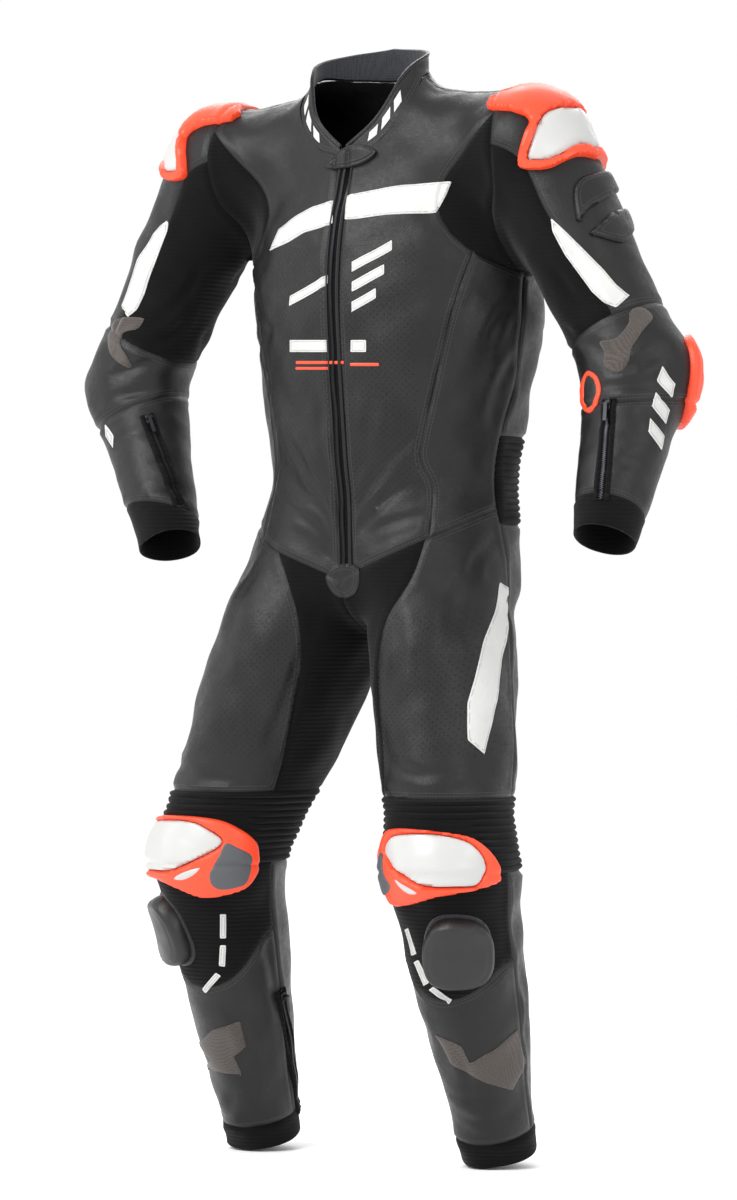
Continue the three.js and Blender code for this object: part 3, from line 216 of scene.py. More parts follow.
def settle(p, rounds=4):
    """Moves points onto the form: each round takes off gradient times distance over gradient squared."""
    p = np.array(p, float)
    for _ in range(rounds):
        g = slope(p)
        p -= g * (form(p) / np.maximum((g * g).sum(1), 1e-6))[:, None]
    return p


def cast(start, direction, near=0.0, far=420.0, step=4.0, out=True):
    """The first place where lines from inside leave the form, or where lines from outside meet it."""
    direction = np.atleast_2d(direction).astype(float)
    start = np.broadcast_to(np.asarray(start, float), direction.shape)
    direction = unit(direction)
    sign = 1 if out else -1
    steps = np.arange(near, far, step)
    points = start[:, None, :] + direction[:, None, :] * steps[None, :, None]
    past = (sign * form(points.reshape(-1, 3)) >= 0).reshape(len(start), -1)
    first = np.where(past.any(1), past.argmax(1), len(steps) - 1)
    high = steps[first]
    low = np.maximum(high - step, near)
    for _ in range(14):
        mid = (low + high) / 2
        inside = sign * form(start + direction * mid[:, None]) < 0
        low, high = np.where(inside, mid, low), np.where(inside, high, mid)
    return start + direction * high[:, None]


# %% [markdown]
# ## The camera, also used to lay what the photograph shows onto the form
# The suit was photographed level, from 30 degrees to the wearer's left. A place in the picture could be
# guessed by eye; a line from the camera through its pixel to the form is surer, so what shows is given in
# pixels below.

# %%
AZIMUTH = math.radians(30)
CAMERA_FAR = 5000.0
MM_PER_PIXEL = 1.22
PHOTO_WIDE, PHOTO_HIGH = 737, 1200
LOOK_AT = np.array([0, 0, -585.0])
VIEW_RIGHT = np.array([math.cos(AZIMUTH), math.sin(AZIMUTH), 0])
VIEW_AHEAD = np.array([-math.sin(AZIMUTH), math.cos(AZIMUTH), 0])
CAMERA_ASIDE = -16.5
# distances from the camera between which the suit stands
SUIT_BETWEEN = (4480, 5420)
camera_place = LOOK_AT - VIEW_AHEAD * CAMERA_FAR + VIEW_RIGHT * CAMERA_ASIDE


def seen(pixels):
    """Points on the form under pixels of the photograph."""
    pixels = np.atleast_2d(np.asarray(pixels, float))
    aside = (pixels[:, :1] - PHOTO_WIDE / 2) * MM_PER_PIXEL
    up = (PHOTO_HIGH / 2 - pixels[:, 1:]) * MM_PER_PIXEL
    ahead = VIEW_AHEAD * CAMERA_FAR + aside * VIEW_RIGHT + up * np.array([0, 0, 1.0])
    return cast(camera_place, ahead, *SUIT_BETWEEN, 6, out=False)


# %% [markdown]
# ## The net
# Cloth needs a surface of points. The form could be meshed in cubes, but its edges would run anyhow. Rings
# round the limbs and rows over the yoke follow the garment, so seams cross them cleanly. They start coarse,
# and then each four-cornered cell is divided and settled on the form.

# %%
HALF_COLUMNS, SHOULDER_COLUMNS, ARMHOLE_ROWS, CROTCH_COLUMNS = 12, 2, 6, 4
FINENESS = 8
NECKLINE = np.array([(0, -54), (30, -38), (60, 10), (90, 47), (135, 52), (180, 50)], float)
HIP_LEVEL = -560
# a height that is inside the shoulders
INSIDE_SHOULDER = -40
TORSO_LEVELS = [-220, -262, -308, -352, -392, -430, -468, -510, HIP_LEVEL]
ARMHOLE_MIDDLE, ARMHOLE_LEAN = np.array([191, -4, -84.0]), 0.07
SLEEVE_STEPS, FOREARM_STEPS = [0.14, 0.3, 0.46, 0.64, 0.83, 1], [0.2, 0.42, 0.7, 1]
LEG_LEVELS = [-612, -668, -726, -780, -820, -858, -900, -948, -1000, -1056, -1114, -1172, -1214, -1252]
FAN_ROWS, HEM_TILT, HEM_TILT_FROM = 4, 0.34, -1090


def smooth(t):
    """Zero to one with level ends: t squared times (3 - 2t)."""
    t = np.clip(t, 0, 1)
    return t * t * (3 - 2 * t)


def armhole(sign):
    """A ring of places where lines in the armhole's leaning plane leave the form, from its lowest point."""
    middle = ARMHOLE_MIDDLE * (sign, 1, 1)
    down = unit(np.array([sign * ARMHOLE_LEAN, 0, -1]))
    angle = np.pi * np.arange(2 * ARMHOLE_ROWS) / ARMHOLE_ROWS
    return cast(middle, np.outer(np.cos(angle), down) - np.outer(np.sin(angle), (0, 1, 0)))


def armpit_row(face, right, left):
    """A row across the chest or back from armpit to armpit: an ellipse's directions, cast onto the form."""
    share = np.arange(1, HALF_COLUMNS) / HALF_COLUMNS
    angle = np.pi * share
    level = right[2] + (left[2] - right[2]) * share
    x, y, half, front, back = torso_row(level)
    deep = front if face < 0 else back
    middle = np.stack([x, y, level], 1)
    out = np.stack([-np.cos(angle) * half, face * np.sin(angle) * deep, 0 * angle], 1)
    row = np.vstack([right, cast(middle, out), left])
    hidden = np.concatenate([[False], np.abs(np.cos(angle)) > 0.93, [False]])
    known = np.flatnonzero(~hidden)
    for i in np.flatnonzero(hidden):
        a, b = known[known < i].max(), known[known > i].min()
        row[i] = settle((row[a] + (row[b] - row[a]) * (i - a) / (b - a))[None])[0]
    return row


def neck_point(angle):
    """Places on the neckline, whose height is a smooth curve of the turn from the front."""
    turn = np.abs(np.degrees(angle))
    level = along(NECKLINE[:, 0], NECKLINE[:, 1], np.where(turn > 180, 360 - turn, turn))
    neck = LIMB["neck"]
    middle = neck.start + neck.axis * ((level - neck.start[2]) / neck.axis[2])[:, None]
    return cast(middle, np.stack([np.sin(angle), -np.cos(angle), 0 * angle], 1))


def shoulder_line(outer, inner):
    """Places on top of the shoulder between the armhole and the neck: lines sent straight up."""
    share = np.arange(1, SHOULDER_COLUMNS)[:, None] / SHOULDER_COLUMNS
    p = outer + (inner - outer) * share
    p[:, 2] = INSIDE_SHOULDER
    return cast(p, np.tile([0, 0, 1.0], (len(p), 1)))


def yoke(face, hole_right, hole_left):
    """A patch between four edges: the two blends of facing edges, less the blend of the four corners."""
    low = armpit_row(face, hole_right[0], hole_left[0])
    columns = HALF_COLUMNS - 2 * SHOULDER_COLUMNS
    angle = -np.pi / 2 + np.pi * np.arange(1, columns) / columns
    sides = neck_point(np.array([-np.pi / 2, np.pi / 2]))
    top_right, top_left = hole_right[ARMHOLE_ROWS], hole_left[ARMHOLE_ROWS]
    high = np.vstack([
        top_right, shoulder_line(top_right, sides[0]), sides[0],
        neck_point(angle if face < 0 else np.pi - angle),
        sides[1], shoulder_line(top_left, sides[1])[::-1], top_left,
    ])
    side = [(j if face < 0 else -j) % (2 * ARMHOLE_ROWS) for j in range(ARMHOLE_ROWS + 1)]
    first, last = hole_right[side], hole_left[side]
    t = (np.arange(ARMHOLE_ROWS + 1) / ARMHOLE_ROWS)[:, None, None]
    s = (np.arange(HALF_COLUMNS + 1) / HALF_COLUMNS)[None, :, None]
    grid = low * (1 - t) + high * t + first[:, None] * (1 - s) + last[:, None] * s
    grid = grid - low[0] * (1 - s) * (1 - t) - low[-1] * s * (1 - t)
    grid = grid - high[0] * (1 - s) * t - high[-1] * s * t
    grid[1:-1, 1:-1] = settle(grid[1:-1, 1:-1].reshape(-1, 3)).reshape(ARMHOLE_ROWS - 1, HALF_COLUMNS - 1, 3)
    return grid


def torso_ring(level):
    """A level ring round the trunk, in the directions of its section's points."""
    angle = np.pi * np.arange(2 * HALF_COLUMNS) / HALF_COLUMNS
    x, y, half, front, back = (float(v) for v in torso_row(np.array([level])))
    deep = np.where(np.arange(2 * HALF_COLUMNS) < HALF_COLUMNS, front, back)
    return cast((x, y, level), np.stack([-np.cos(angle) * half, -np.sin(angle) * deep, 0 * angle], 1))


def sleeve(side, hole):
    """Rings from the armhole to the cuff, each square to a direction that turns with the arm."""
    sign = -1 if side == "R" else 1
    upper, fore = LIMB["upperArm" + side], LIMB["forearm" + side]
    first = ARMHOLE_MIDDLE * (sign, 1, 1)
    straight = unit(np.array([sign, 0, ARMHOLE_LEAN]))
    bisector = unit(upper.axis + fore.axis)
    rings = [hole]

    def ring(middle, normal):
        """A ring round a middle: cosine times down plus sine times front, cast onto the form."""
        normal = unit(normal)
        forward = np.array([0, -1.0, 0])
        front = unit(forward - normal * (forward @ normal))
        down = -sign * np.cross(front, normal)
        angle = np.pi * np.arange(2 * ARMHOLE_ROWS) / ARMHOLE_ROWS
        rings.append(cast(middle, np.outer(np.cos(angle), down) + np.outer(np.sin(angle), front)))

    for t in SLEEVE_STEPS:
        normal = straight + (upper.axis - straight) * smooth(t / 0.6)
        ring(first + (fore.start - first) * t, normal + (bisector - normal) * smooth((t - 0.6) / 0.4))
    for t in FOREARM_STEPS:
        ring(fore.start + (fore.end - fore.start) * t, bisector + (fore.axis - bisector) * smooth(t / 0.4))
    return np.array(rings)


def leg(side, hip_ring, crotch):
    """Rings from hip to hem, whose directions go from the hip ring's own to evenly spaced ones."""
    sign = -1 if side == "R" else 1
    thigh, shank = LIMB["thigh" + side], LIMB["shank" + side]
    places = [(HALF_COLUMNS // 2 + sign * i) % (2 * HALF_COLUMNS) for i in range(HALF_COLUMNS + 1)]
    ring0 = np.vstack([hip_ring[places], crotch])

    def axis_at(z):
        """The place on the leg's axis at a height."""
        limb = thigh if z > shank.start[2] else shank
        return limb.start + limb.axis * (z - limb.start[2]) / limb.axis[2]

    start = axis_at(HIP_LEVEL - 10)
    angles = np.arctan2((ring0[:, 0] - start[0]) * sign, -(ring0[:, 1] - start[1]))
    for i in range(1, len(angles)):
        while angles[i] < angles[i - 1] - 0.2:
            angles[i] += 2 * np.pi
    uniform = angles[0] + 2 * np.pi * np.arange(len(angles)) / len(angles)
    rings = [ring0]
    for j, z in enumerate(LEG_LEVELS):
        angle = angles + (uniform - angles) * smooth((j + 1) / FAN_ROWS)
        drop = 0.42 * (1 - smooth((j + 1) / (FAN_ROWS + 1)))
        tilt = HEM_TILT * smooth((HEM_TILT_FROM - z) / (HEM_TILT_FROM - LEG_LEVELS[-1]))
        down = -drop * np.maximum(0, -np.sin(angle)) - tilt * np.cos(angle)
        rings.append(cast(axis_at(z), np.stack([sign * np.sin(angle), -np.cos(angle), down], 1)))
    return np.array(rings)


def closed(grid):
    """A grid of rings with its first column again at its end."""
    return np.concatenate([grid, grid[:, :1]], 1)


def coarse_grids():
    """The net's seven grids, each with whether its cells are turned the other way round."""
    hole_right, hole_left = armhole(-1), armhole(1)
    front, back = yoke(-1, hole_right, hole_left), yoke(1, hole_right, hole_left)
    rings = [np.vstack([front[0], back[0][::-1][1:-1]])] + [torso_ring(z) for z in TORSO_LEVELS]
    angle = np.pi * np.arange(1, CROTCH_COLUMNS) / CROTCH_COLUMNS
    crotch = cast((-3, 4, HIP_LEVEL), np.stack([0 * angle, np.cos(angle), -np.sin(angle)], 1))
    return [
        (front, True), (back, False), (closed(np.array(rings)), False),
        (closed(sleeve("R", hole_right)), True), (closed(sleeve("L", hole_left)), False),
        (closed(leg("R", rings[-1], crotch)), True), (closed(leg("L", rings[-1], crotch)), False),
    ]


def refined(grid, times):
    """A grid with each cell divided: (1-s)(1-t)a + s(1-t)b + (1-s)tc + std inside its four corners."""
    rows, columns = grid.shape[0] - 1, grid.shape[1] - 1
    r, c = np.arange(rows * times + 1) / times, np.arange(columns * times + 1) / times
    i, j = np.minimum(r.astype(int), rows - 1), np.minimum(c.astype(int), columns - 1)
    t, s = (r - i)[:, None, None], (c - j)[None, :, None]
    top = grid[i][:, j] * (1 - s) + grid[i][:, j + 1] * s
    return top * (1 - t) + (grid[i + 1][:, j] * (1 - s) + grid[i + 1][:, j + 1] * s) * t


def dense_net(times):
    """All grids divided, joined where they meet, halved along their shorter diagonals and settled."""
    points, cells, count = [], [], 0
    for grid, turned in coarse_grids():
        fine = refined(grid, times)
        rows, columns = fine.shape[:2]
        index = count + np.arange(rows * columns).reshape(rows, columns)
        a, b, c, d = index[:-1, :-1], index[1:, :-1], index[1:, 1:], index[:-1, 1:]
        quad = np.stack([a, d, c, b] if turned else [a, b, c, d], -1).reshape(-1, 4)
        points.append(fine.reshape(-1, 3))
        cells.append(quad)
        count += rows * columns
    points, cells = np.vstack(points), np.vstack(cells)
    _, first, merged = np.unique(np.round(points, 3), axis=0, return_index=True, return_inverse=True)
    points, cells = points[first], merged.reshape(-1)[cells]
    short = np.linalg.norm(points[cells[:, 0]] - points[cells[:, 2]], axis=1)
    split = short <= np.linalg.norm(points[cells[:, 1]] - points[cells[:, 3]], axis=1)
    one, two = cells[split], cells[~split]
    tris = np.vstack([one[:, [0, 1, 2]], one[:, [0, 2, 3]], two[:, [0, 1, 3]], two[:, [1, 2, 3]]])
    return settle(points), tris


# %% [markdown]
# ## Seams
# Panels are flat shapes with curved edges. Built one by one, their edges would have to match; cut from one
# skin, they do. Each seam is a line in the front view (x, z) or the side view (y, z), cut through a range
# of depth.

# %%
ZIP_LINE = [
    (4, 10), (-1, -130), (2, -290), (7, -450), (10, -600),
]
ZIP_HALF = 9
MIRRORED_SEAMS = [
    ("front", -300, 300, [
        (186, 80), (190, 20), (197, -40), (192, -95), (177, -127), (180, -156), (198, -205),
    ]),
    ("front", -300, 8, [
        (214, 14), (158, -50), (128, -84), (120, -115), (132, -142), (160, -172), (216, -206),
    ]),
    ("side", 60, 204, [(-26, -30), (-26, 90)]),
    ("side", 100, 206, [(5, -150), (4, -262), (12, -321), (2, -369), (-6, -417), (-5, -471), (8, -537)]),
    ("front", -300, 0, [
        (158, -168), (138, -253), (120, -327), (107, -383), (102, -418), (114, -455), (116, -520),
    ]),
    ("front", -300, 6, [(178, -460), (150, -488), (116, -510), (84, -526), (44, -542), (-3, -562)]),
    ("front", -300, 300, [(188, -44), (232, -66), (262, -125), (290, -168), (318, -206), (352, -262)]),
    ("front", -300, 300, [(250, -303), (430, -208)]),
]
INNER_LEFT = [
    (103, -561), (77, -609), (66, -656), (69, -703), (75, -778), (80, -830),
]
INNER_RIGHT = [
    (-66, -556), (-50, -600), (-45, -645), (-55, -705), (-73, -778), (-90, -830),
]
THIGH_SIDE = [
    (8, -530), (6, -580), (0, -650), (-18, -740), (-44, -826),
]
CALF_SIDE = [
    (-92, -898), (-72, -960), (-32, -1070), (8, -1170), (34, -1229),
]
HEM_SIDE = [
    (-80, -1260), (130, -1188),
]
SEAMS = [
    ("front", -300, -40, [(x - ZIP_HALF, z) for x, z in ZIP_LINE]),
    ("front", -300, -40, [(x + ZIP_HALF, z) for x, z in ZIP_LINE]),
    ("front", -7, 300, [(-210, -388), (210, -388)]),
    ("front", -8, 300, [(-210, -494), (210, -494)]),
    ("front", -9, 300, [(3, -488), (3, -720)]),
    ("front", -300, 9, [(3, -552), (3, -720)]),
    ("front", -300, 9, [(113, -506), *INNER_LEFT]),
    ("front", -300, 9, [(-92, -512), *INNER_RIGHT]),
    ("front", -9, 300, [(108, -486), *INNER_LEFT]),
    ("front", -9, 300, [(-92, -486), *INNER_RIGHT]),
    ("side", 96, 260, THIGH_SIDE),
    ("side", -300, -96, THIGH_SIDE),
    ("front", -300, 300, [(30, -818), (260, -818)]),
    ("front", -300, 300, [(-300, -816), (-40, -816)]),
    ("front", -300, 300, [(30, -905), (260, -905)]),
    ("front", -300, 300, [(-300, -903), (-40, -903)]),
    ("side", 20, 260, CALF_SIDE),
    ("side", -300, -60, CALF_SIDE),
    ("side", 20, 260, HEM_SIDE),
    ("side", -300, -60, HEM_SIDE),
    ("front", -300, -48, [(62, -960), (95, -1032), (140, -1058), (190, -1040), (235, -968)]),
    ("front", -300, -48, [(-268, -968), (-232, -1040), (-182, -1058), (-138, -1032), (-105, -960)]),
    ("front", -300, 300, [(270, -362), (440, -350)]),
    ("front", -300, 300, [(-430, -394), (-250, -314)]),
    ("side", 290, 430, [(-170, -439), (-10, -517)]),
    ("side", -350, -190, [(-150, -447), (20, -507)]),
]
for view, near, far, line in MIRRORED_SEAMS:
    SEAMS.append((view, near, far, line))
    if view == "front":
        SEAMS.append((view, near, far, [(-h, z) for h, z in line]))
    else:
        SEAMS.append((view, -far, -near, line))


def catmull_rom(a, b, c, d, t):
    """The curve from b to c: b + t/2 ((c-a) + t ((2a-5b+4c-d) + t (3b-a-3c+d)))."""
    return b + 0.5 * t * ((c - a) + t * ((2 * a - 5 * b + 4 * c - d) + t * (3 * b - a - 3 * c + d)))


def spline(line, per_span=10):
    """A Catmull-Rom curve through a line's points."""
    p = np.asarray(line, float)
    if len(p) == 2:
        return p
    before, after = np.vstack([2 * p[:1] - p[1:2], p]), np.vstack([p, 2 * p[-1:] - p[-2:-1]])
    out = []
    for i in range(len(p) - 1):
        a, b, c, d = before[i], p[i], p[i + 1], after[i + 2]
        t = (np.arange(per_span) / per_span)[:, None]
        out.append(catmull_rom(a, b, c, d, t))
    return np.vstack([*out, p[-1:]])


class Look:
    """A direction to look in: places in its picture, and the depth behind it, in millimetres."""

    def __init__(self, right, up, ahead, middle=(0, 0, 0)):
        self.axes = np.array([right, up], float)
        self.ahead, self.middle = np.array(ahead, float), np.array(middle, float)

    def flat(self, p):
        return (p - self.middle) @ self.axes.T

    def deep(self, p):
        return (p - self.middle) @ self.ahead


LOOKS = {"front": Look((1, 0, 0), (0, 0, 1), (0, 1, 0)), "side": Look((0, 1, 0), (0, 0, 1), (1, 0, 0))}


class Seam:
    """A curve in a look's picture, through a range of depth."""

    def __init__(self, look, near, far, curve):
        self.look, self.near, self.far = look, near, far
        self.curve = np.asarray(curve, float)
        self.runs = self.curve[1:] - self.curve[:-1]
        self.lengths = np.linalg.norm(self.runs, axis=1)
        self.starts = np.concatenate([[0], np.cumsum(self.lengths)[:-1]])
        self.total = self.lengths.sum()

    def measure(self, p, reach=22.0):
        """For points within reach: numbers, signed distance from the curve, place along it and depth."""
        flat, deep = self.look.flat(p), self.look.deep(p)
        low, high = self.curve.min(0) - reach, self.curve.max(0) + reach
        within = ((flat >= low) & (flat <= high)).all(1)
        k = np.flatnonzero(within & (deep > self.near - reach) & (deep < self.far + reach))
        q = flat[k]
        best, signed, place = np.full(len(k), 1e9), np.zeros(len(k)), np.zeros(len(k))
        for a, run, long, start in zip(self.curve, self.runs, self.lengths, self.starts):
            d = q - a
            t = d @ run / long**2
            gap = np.hypot(*(d - np.clip(t, 0, 1)[:, None] * run).T)
            closer = gap < best - 1e-9
            cross = run[0] * d[:, 1] - run[1] * d[:, 0]
            signed = np.where(closer, np.where(cross < 0, -gap, gap), signed)
            place = np.where(closer, start + t * long, place)
            best = np.where(closer, gap, best)
        return k, signed, place, deep[k]


SEAM_LINES = [Seam(LOOKS[view], near, far, spline(line)) for view, near, far, line in SEAMS]


def edges_of(tris):
    """The three edges of each triangle, the lower point first."""
    return np.sort(np.vstack([tris[:, [0, 1]], tris[:, [1, 2]], tris[:, [2, 0]]]), axis=1)


# the share of an edge within which its end moves onto a seam that crosses it
SNAP = 0.16


def cut(points, tris, seams):
    """Splits triangles where seams cross them. Each point's mask tells the seams that it lies on."""
    mask = np.zeros(len(points), np.int64)
    for number, seam in enumerate(seams):
        bit = np.int64(1) << np.int64(number)
        k, signed, place, behind = seam.measure(points)
        d, u, deep = np.full(len(points), np.nan), np.zeros(len(points)), np.zeros(len(points))
        d[k], u[k], deep[k] = signed, place, behind
        on = (np.abs(d) < 0.05) & (u > 0) & (u < seam.total) & (deep > seam.near) & (deep < seam.far)
        d[on] = 0
        mask[on] |= bit
        use = np.flatnonzero(np.isfinite(d[tris]).all(1))
        if not len(use):
            continue
        edges = np.unique(edges_of(tris[use]), axis=0)

        def crossing(edges):
            """The edges that the seam crosses, and where: t is one end's distance over the difference."""
            a, b = edges.T
            t = d[a] / np.where(d[a] == d[b], 1, d[a] - d[b])
            at, behind = u[a] + (u[b] - u[a]) * t, deep[a] + (deep[b] - deep[a]) * t
            good = (d[a] * d[b] < 0) & (at > 0) & (at < seam.total)
            good &= (behind > seam.near) & (behind < seam.far)
            return edges[good], t[good]

        crossed, t = crossing(edges)
        for end, close in ((0, t < SNAP), (1, t > 1 - SNAP)):
            free = close & (mask[crossed[:, end]] == 0)
            v, first = np.unique(crossed[free, end], return_index=True)
            a, b = points[crossed[free, 0][first]], points[crossed[free, 1][first]]
            points[v] = a + (b - a) * t[free][first][:, None]
            d[v] = 0
            mask[v] |= bit
        crossed, t = crossing(edges)
        if not len(crossed):
            continue
        a, b = crossed.T
        count = len(points)
        points = np.vstack([points, points[a] + (points[b] - points[a]) * t[:, None]])
        mask = np.concatenate([mask, (mask[a] & mask[b]) | bit])
        keys = a.astype(np.int64) * count + b
        order = np.argsort(keys)
        ends = np.sort(np.stack([tris[use], np.roll(tris[use], -1, axis=1)], 2), axis=2)
        wanted = ends[..., 0].astype(np.int64) * count + ends[..., 1]
        found = np.minimum(np.searchsorted(keys[order], wanted), len(keys) - 1)
        middle = np.where(keys[order][found] == wanted, count + order[found], -1)
        cuts = (middle >= 0).sum(1)
        made = [np.delete(tris, use[cuts > 0], axis=0)]

        def turned(rows, first):
            """Corners and cut places of triangles, counted from a chosen corner."""
            place = (first[:, None] + np.arange(3)) % 3
            corners = np.take_along_axis(tris[use[rows]], place, 1)
            return [*corners.T, *np.take_along_axis(middle[rows], place, 1).T]

        one, two, three = (np.flatnonzero(cuts == n) for n in (1, 2, 3))
        p, q, r, m, _, _ = turned(one, (middle[one] >= 0).argmax(1))
        made += [np.stack(f, 1) for f in ((p, m, r), (m, q, r))]
        p, q, r, _, m, n = turned(two, (middle[two] < 0).argmax(1))
        made += [np.stack(f, 1) for f in ((p, q, m), (p, m, n), (n, m, r))]
        p, q, r, l, m, n = turned(three, np.zeros(len(three), int))
        made += [np.stack(f, 1) for f in ((p, l, n), (l, q, m), (n, m, r), (l, m, n))]
        tris = np.vstack(made)
    return points, tris, mask


def regions(tris, mask, count):
    """A number for each triangle, the same for those that join without crossing a seam."""
    edges = edges_of(tris)
    owner = np.tile(np.arange(len(tris)), 3)
    key = edges[:, 0].astype(np.int64) * count + edges[:, 1]
    order = np.argsort(key, kind="stable")
    key, owner, edges = key[order], owner[order], edges[order]
    same = (key[1:] == key[:-1]) & ((mask[edges[1:, 0]] & mask[edges[1:, 1]]) == 0)
    a, b = owner[:-1][same], owner[1:][same]
    label = np.arange(len(tris))
    while True:
        low = np.minimum(label[a], label[b])
        new = label.copy()
        np.minimum.at(new, a, low)
        np.minimum.at(new, b, low)
        new = new[new]
        if (new == label).all():
            return label
        label = new


# %% [markdown]
# ## Which cell belongs to which panel
# Cells that join without crossing a seam are one panel. Numbered as they come, a moved seam would change
# every name, so a place near the middle of each panel names it.

# %%
SKIN = {
    "back": (0, 145, -200), "back_stretch": (5, 130, -440), "main_zip": (3, -118, -300),
    "front_R": (-85, -100, -300), "front_L": (85, -100, -300),
    "side_R": (-155, -50, -350), "side_L": (155, -50, -350),
    "gusset_R": (-155, -65, -110), "gusset_L": (155, -65, -110),
    "sleeve_outer_R": (-330, 0, -120), "sleeve_outer_L": (330, 0, -120),
    "sleeve_inner_R": (-235, -60, -180), "sleeve_inner_L": (235, -60, -180),
    "elbow_R": (-345, -60, -300), "elbow_L": (345, -60, -300),
    "forearm_R": (-310, -100, -400), "forearm_L": (352, -105, -420),
    "cuff_R": (-262, -115, -505), "cuff_L": (354, -135, -505),
    "thigh_front_R": (-150, -150, -700), "thigh_front_L": (130, -140, -700),
    "thigh_back_R": (-150, 80, -650), "thigh_back_L": (130, 80, -650),
    "thigh_inner_R": (-40, -60, -650), "thigh_inner_L": (50, -60, -650),
    "knee_stretch_R": (-180, -165, -860), "knee_stretch_L": (145, -165, -860),
    "knee_panel_R": (-188, -145, -980), "knee_panel_L": (146, -145, -980),
    "shin_R": (-190, -75, -1130), "shin_L": (143, -75, -1130),
    "calf_R": (-188, 60, -1080), "calf_L": (143, 60, -1080),
    "hem_R": (-190, -10, -1245), "hem_L": (142, -10, -1245),
}
STRETCH = {"back_stretch"} | {
    name + side
    for side in ("_R", "_L")
    for name in ("gusset", "sleeve_inner", "cuff", "thigh_inner", "knee_stretch", "knee_panel", "hem")
}

net_points, net_tris = dense_net(FINENESS)
points, tris, mask = cut(net_points.copy(), net_tris, SEAM_LINES)
label = regions(tris, mask, len(points))
centres = points[tris].mean(1)
piece_of = np.full(len(tris), -1)
names = list(SKIN)
for number, name in enumerate(names):
    seed = np.linalg.norm(centres - np.array(SKIN[name], float), axis=1).argmin()
    same = label == label[seed]
    if (piece_of[same] >= 0).any():
        print("regions joined:", name, names[piece_of[same].max()])
    piece_of[same] = number
# a small cell between two seams joins the panel of its nearest neighbour within this reach
LOOSE_REACH = 12
loose, held = np.flatnonzero(piece_of < 0), np.flatnonzero(piece_of >= 0)
for f in loose:
    near = held[np.abs(centres[held] - centres[f]).max(1) < LOOSE_REACH]
    if len(near):
        piece_of[f] = piece_of[near[np.linalg.norm(centres[near] - centres[f], axis=1).argmin()]]
print("points", len(points), "triangles", len(tris), "small cells joined to their neighbours", len(loose))

# %% [markdown]
# ## Distance to the seams
# A seam draws the leather in, its turned edges lift beside it, and two rows of thread run along. Stitches
# could be thousands of small meshes. Here each point keeps its distance to the nearest seam and its place
# along it, and both the shape and the thread follow from those two numbers.

# %%
def seam_samples():
    """Points, directions and runs along the borders between pieces, walked from end to end."""
    edges = edges_of(tris)
    order = np.lexsort((edges[:, 1], edges[:, 0]))
    edges, owner = edges[order], np.tile(piece_of, 3)[order]
    pair = np.flatnonzero((edges[1:] == edges[:-1]).all(1))
    border = edges[pair[owner[pair] != owner[pair + 1]]]
    links = {}
    for a, b in border.tolist():
        links.setdefault(a, []).append(b)
        links.setdefault(b, []).append(a)
    left = {(a, b) for a, b in border.tolist()}
    starts = [v for v, others in links.items() if len(others) != 2] + list(links)
    out = []
    run = 0.0
    for start in starts:
        while True:
            nexts = [b for b in links[start] if (min(start, b), max(start, b)) in left]
            if not nexts:
                break
            chain, here = [start], nexts[0]
            left.discard((min(start, here), max(start, here)))
            chain.append(here)
            while len(links[here]) == 2:
                more = [b for b in links[here] if (min(here, b), max(here, b)) in left]
                if not more:
                    break
                left.discard((min(here, more[0]), max(here, more[0])))
                here = more[0]
                chain.append(here)
            line = points[chain]
            longs = np.linalg.norm(line[1:] - line[:-1], axis=1)
            ways = unit(line[1:] - line[:-1])
            places = np.concatenate([[0], np.cumsum(longs)]) + run
            middles = (places[:-1, None] + places[1:, None]) / 2
            out.append(np.hstack([line[:-1], ways, places[:-1, None]]))
            out.append(np.hstack([(line[1:] + line[:-1]) / 2, ways, middles]))
            out.append(np.hstack([line[-1:], ways[-1:], places[-1:, None]]))
            run = places[-1]
    return np.vstack(out)


SEAM_POINTS = seam_samples()
SEAM_POINTS = SEAM_POINTS[np.argsort(SEAM_POINTS[:, 2])]
FAR_FROM_SEAM = 30.0
print("metres of seam", round(SEAM_POINTS[:, 6].max() * MM, 2))


def seam_field(p, slab=16.0):
    """Distance to the nearest seam, up to a limit, and the place along it, slab by slab in height."""
    far, run = np.full(len(p), FAR_FROM_SEAM), np.zeros(len(p))
    order = np.argsort(p[:, 2])
    heights = p[order, 2]
    for low in np.arange(heights[0], heights[-1] + slab, slab):
        k = order[np.searchsorted(heights, low):np.searchsorted(heights, low + slab)]
        near = np.searchsorted(SEAM_POINTS[:, 2], (low - FAR_FROM_SEAM, low + slab + FAR_FROM_SEAM))
        samples = SEAM_POINTS[near[0]:near[1]]
        if not len(k) or not len(samples):
            continue
        for part in np.array_split(k, max(1, len(k) * len(samples) // 4000000)):
            gap = ((p[part, None] - samples[None, :, :3]) ** 2).sum(2)
            best = samples[gap.argmin(1)]
            d = p[part] - best[:, :3]
            ahead = np.clip((d * best[:, 3:6]).sum(1), -3, 3)
            side = np.sqrt(np.maximum((d * d).sum(1) - ahead**2, 0))
            far[part] = np.minimum(side, FAR_FROM_SEAM)
            run[part] = best[:, 6] + ahead
    return far, run
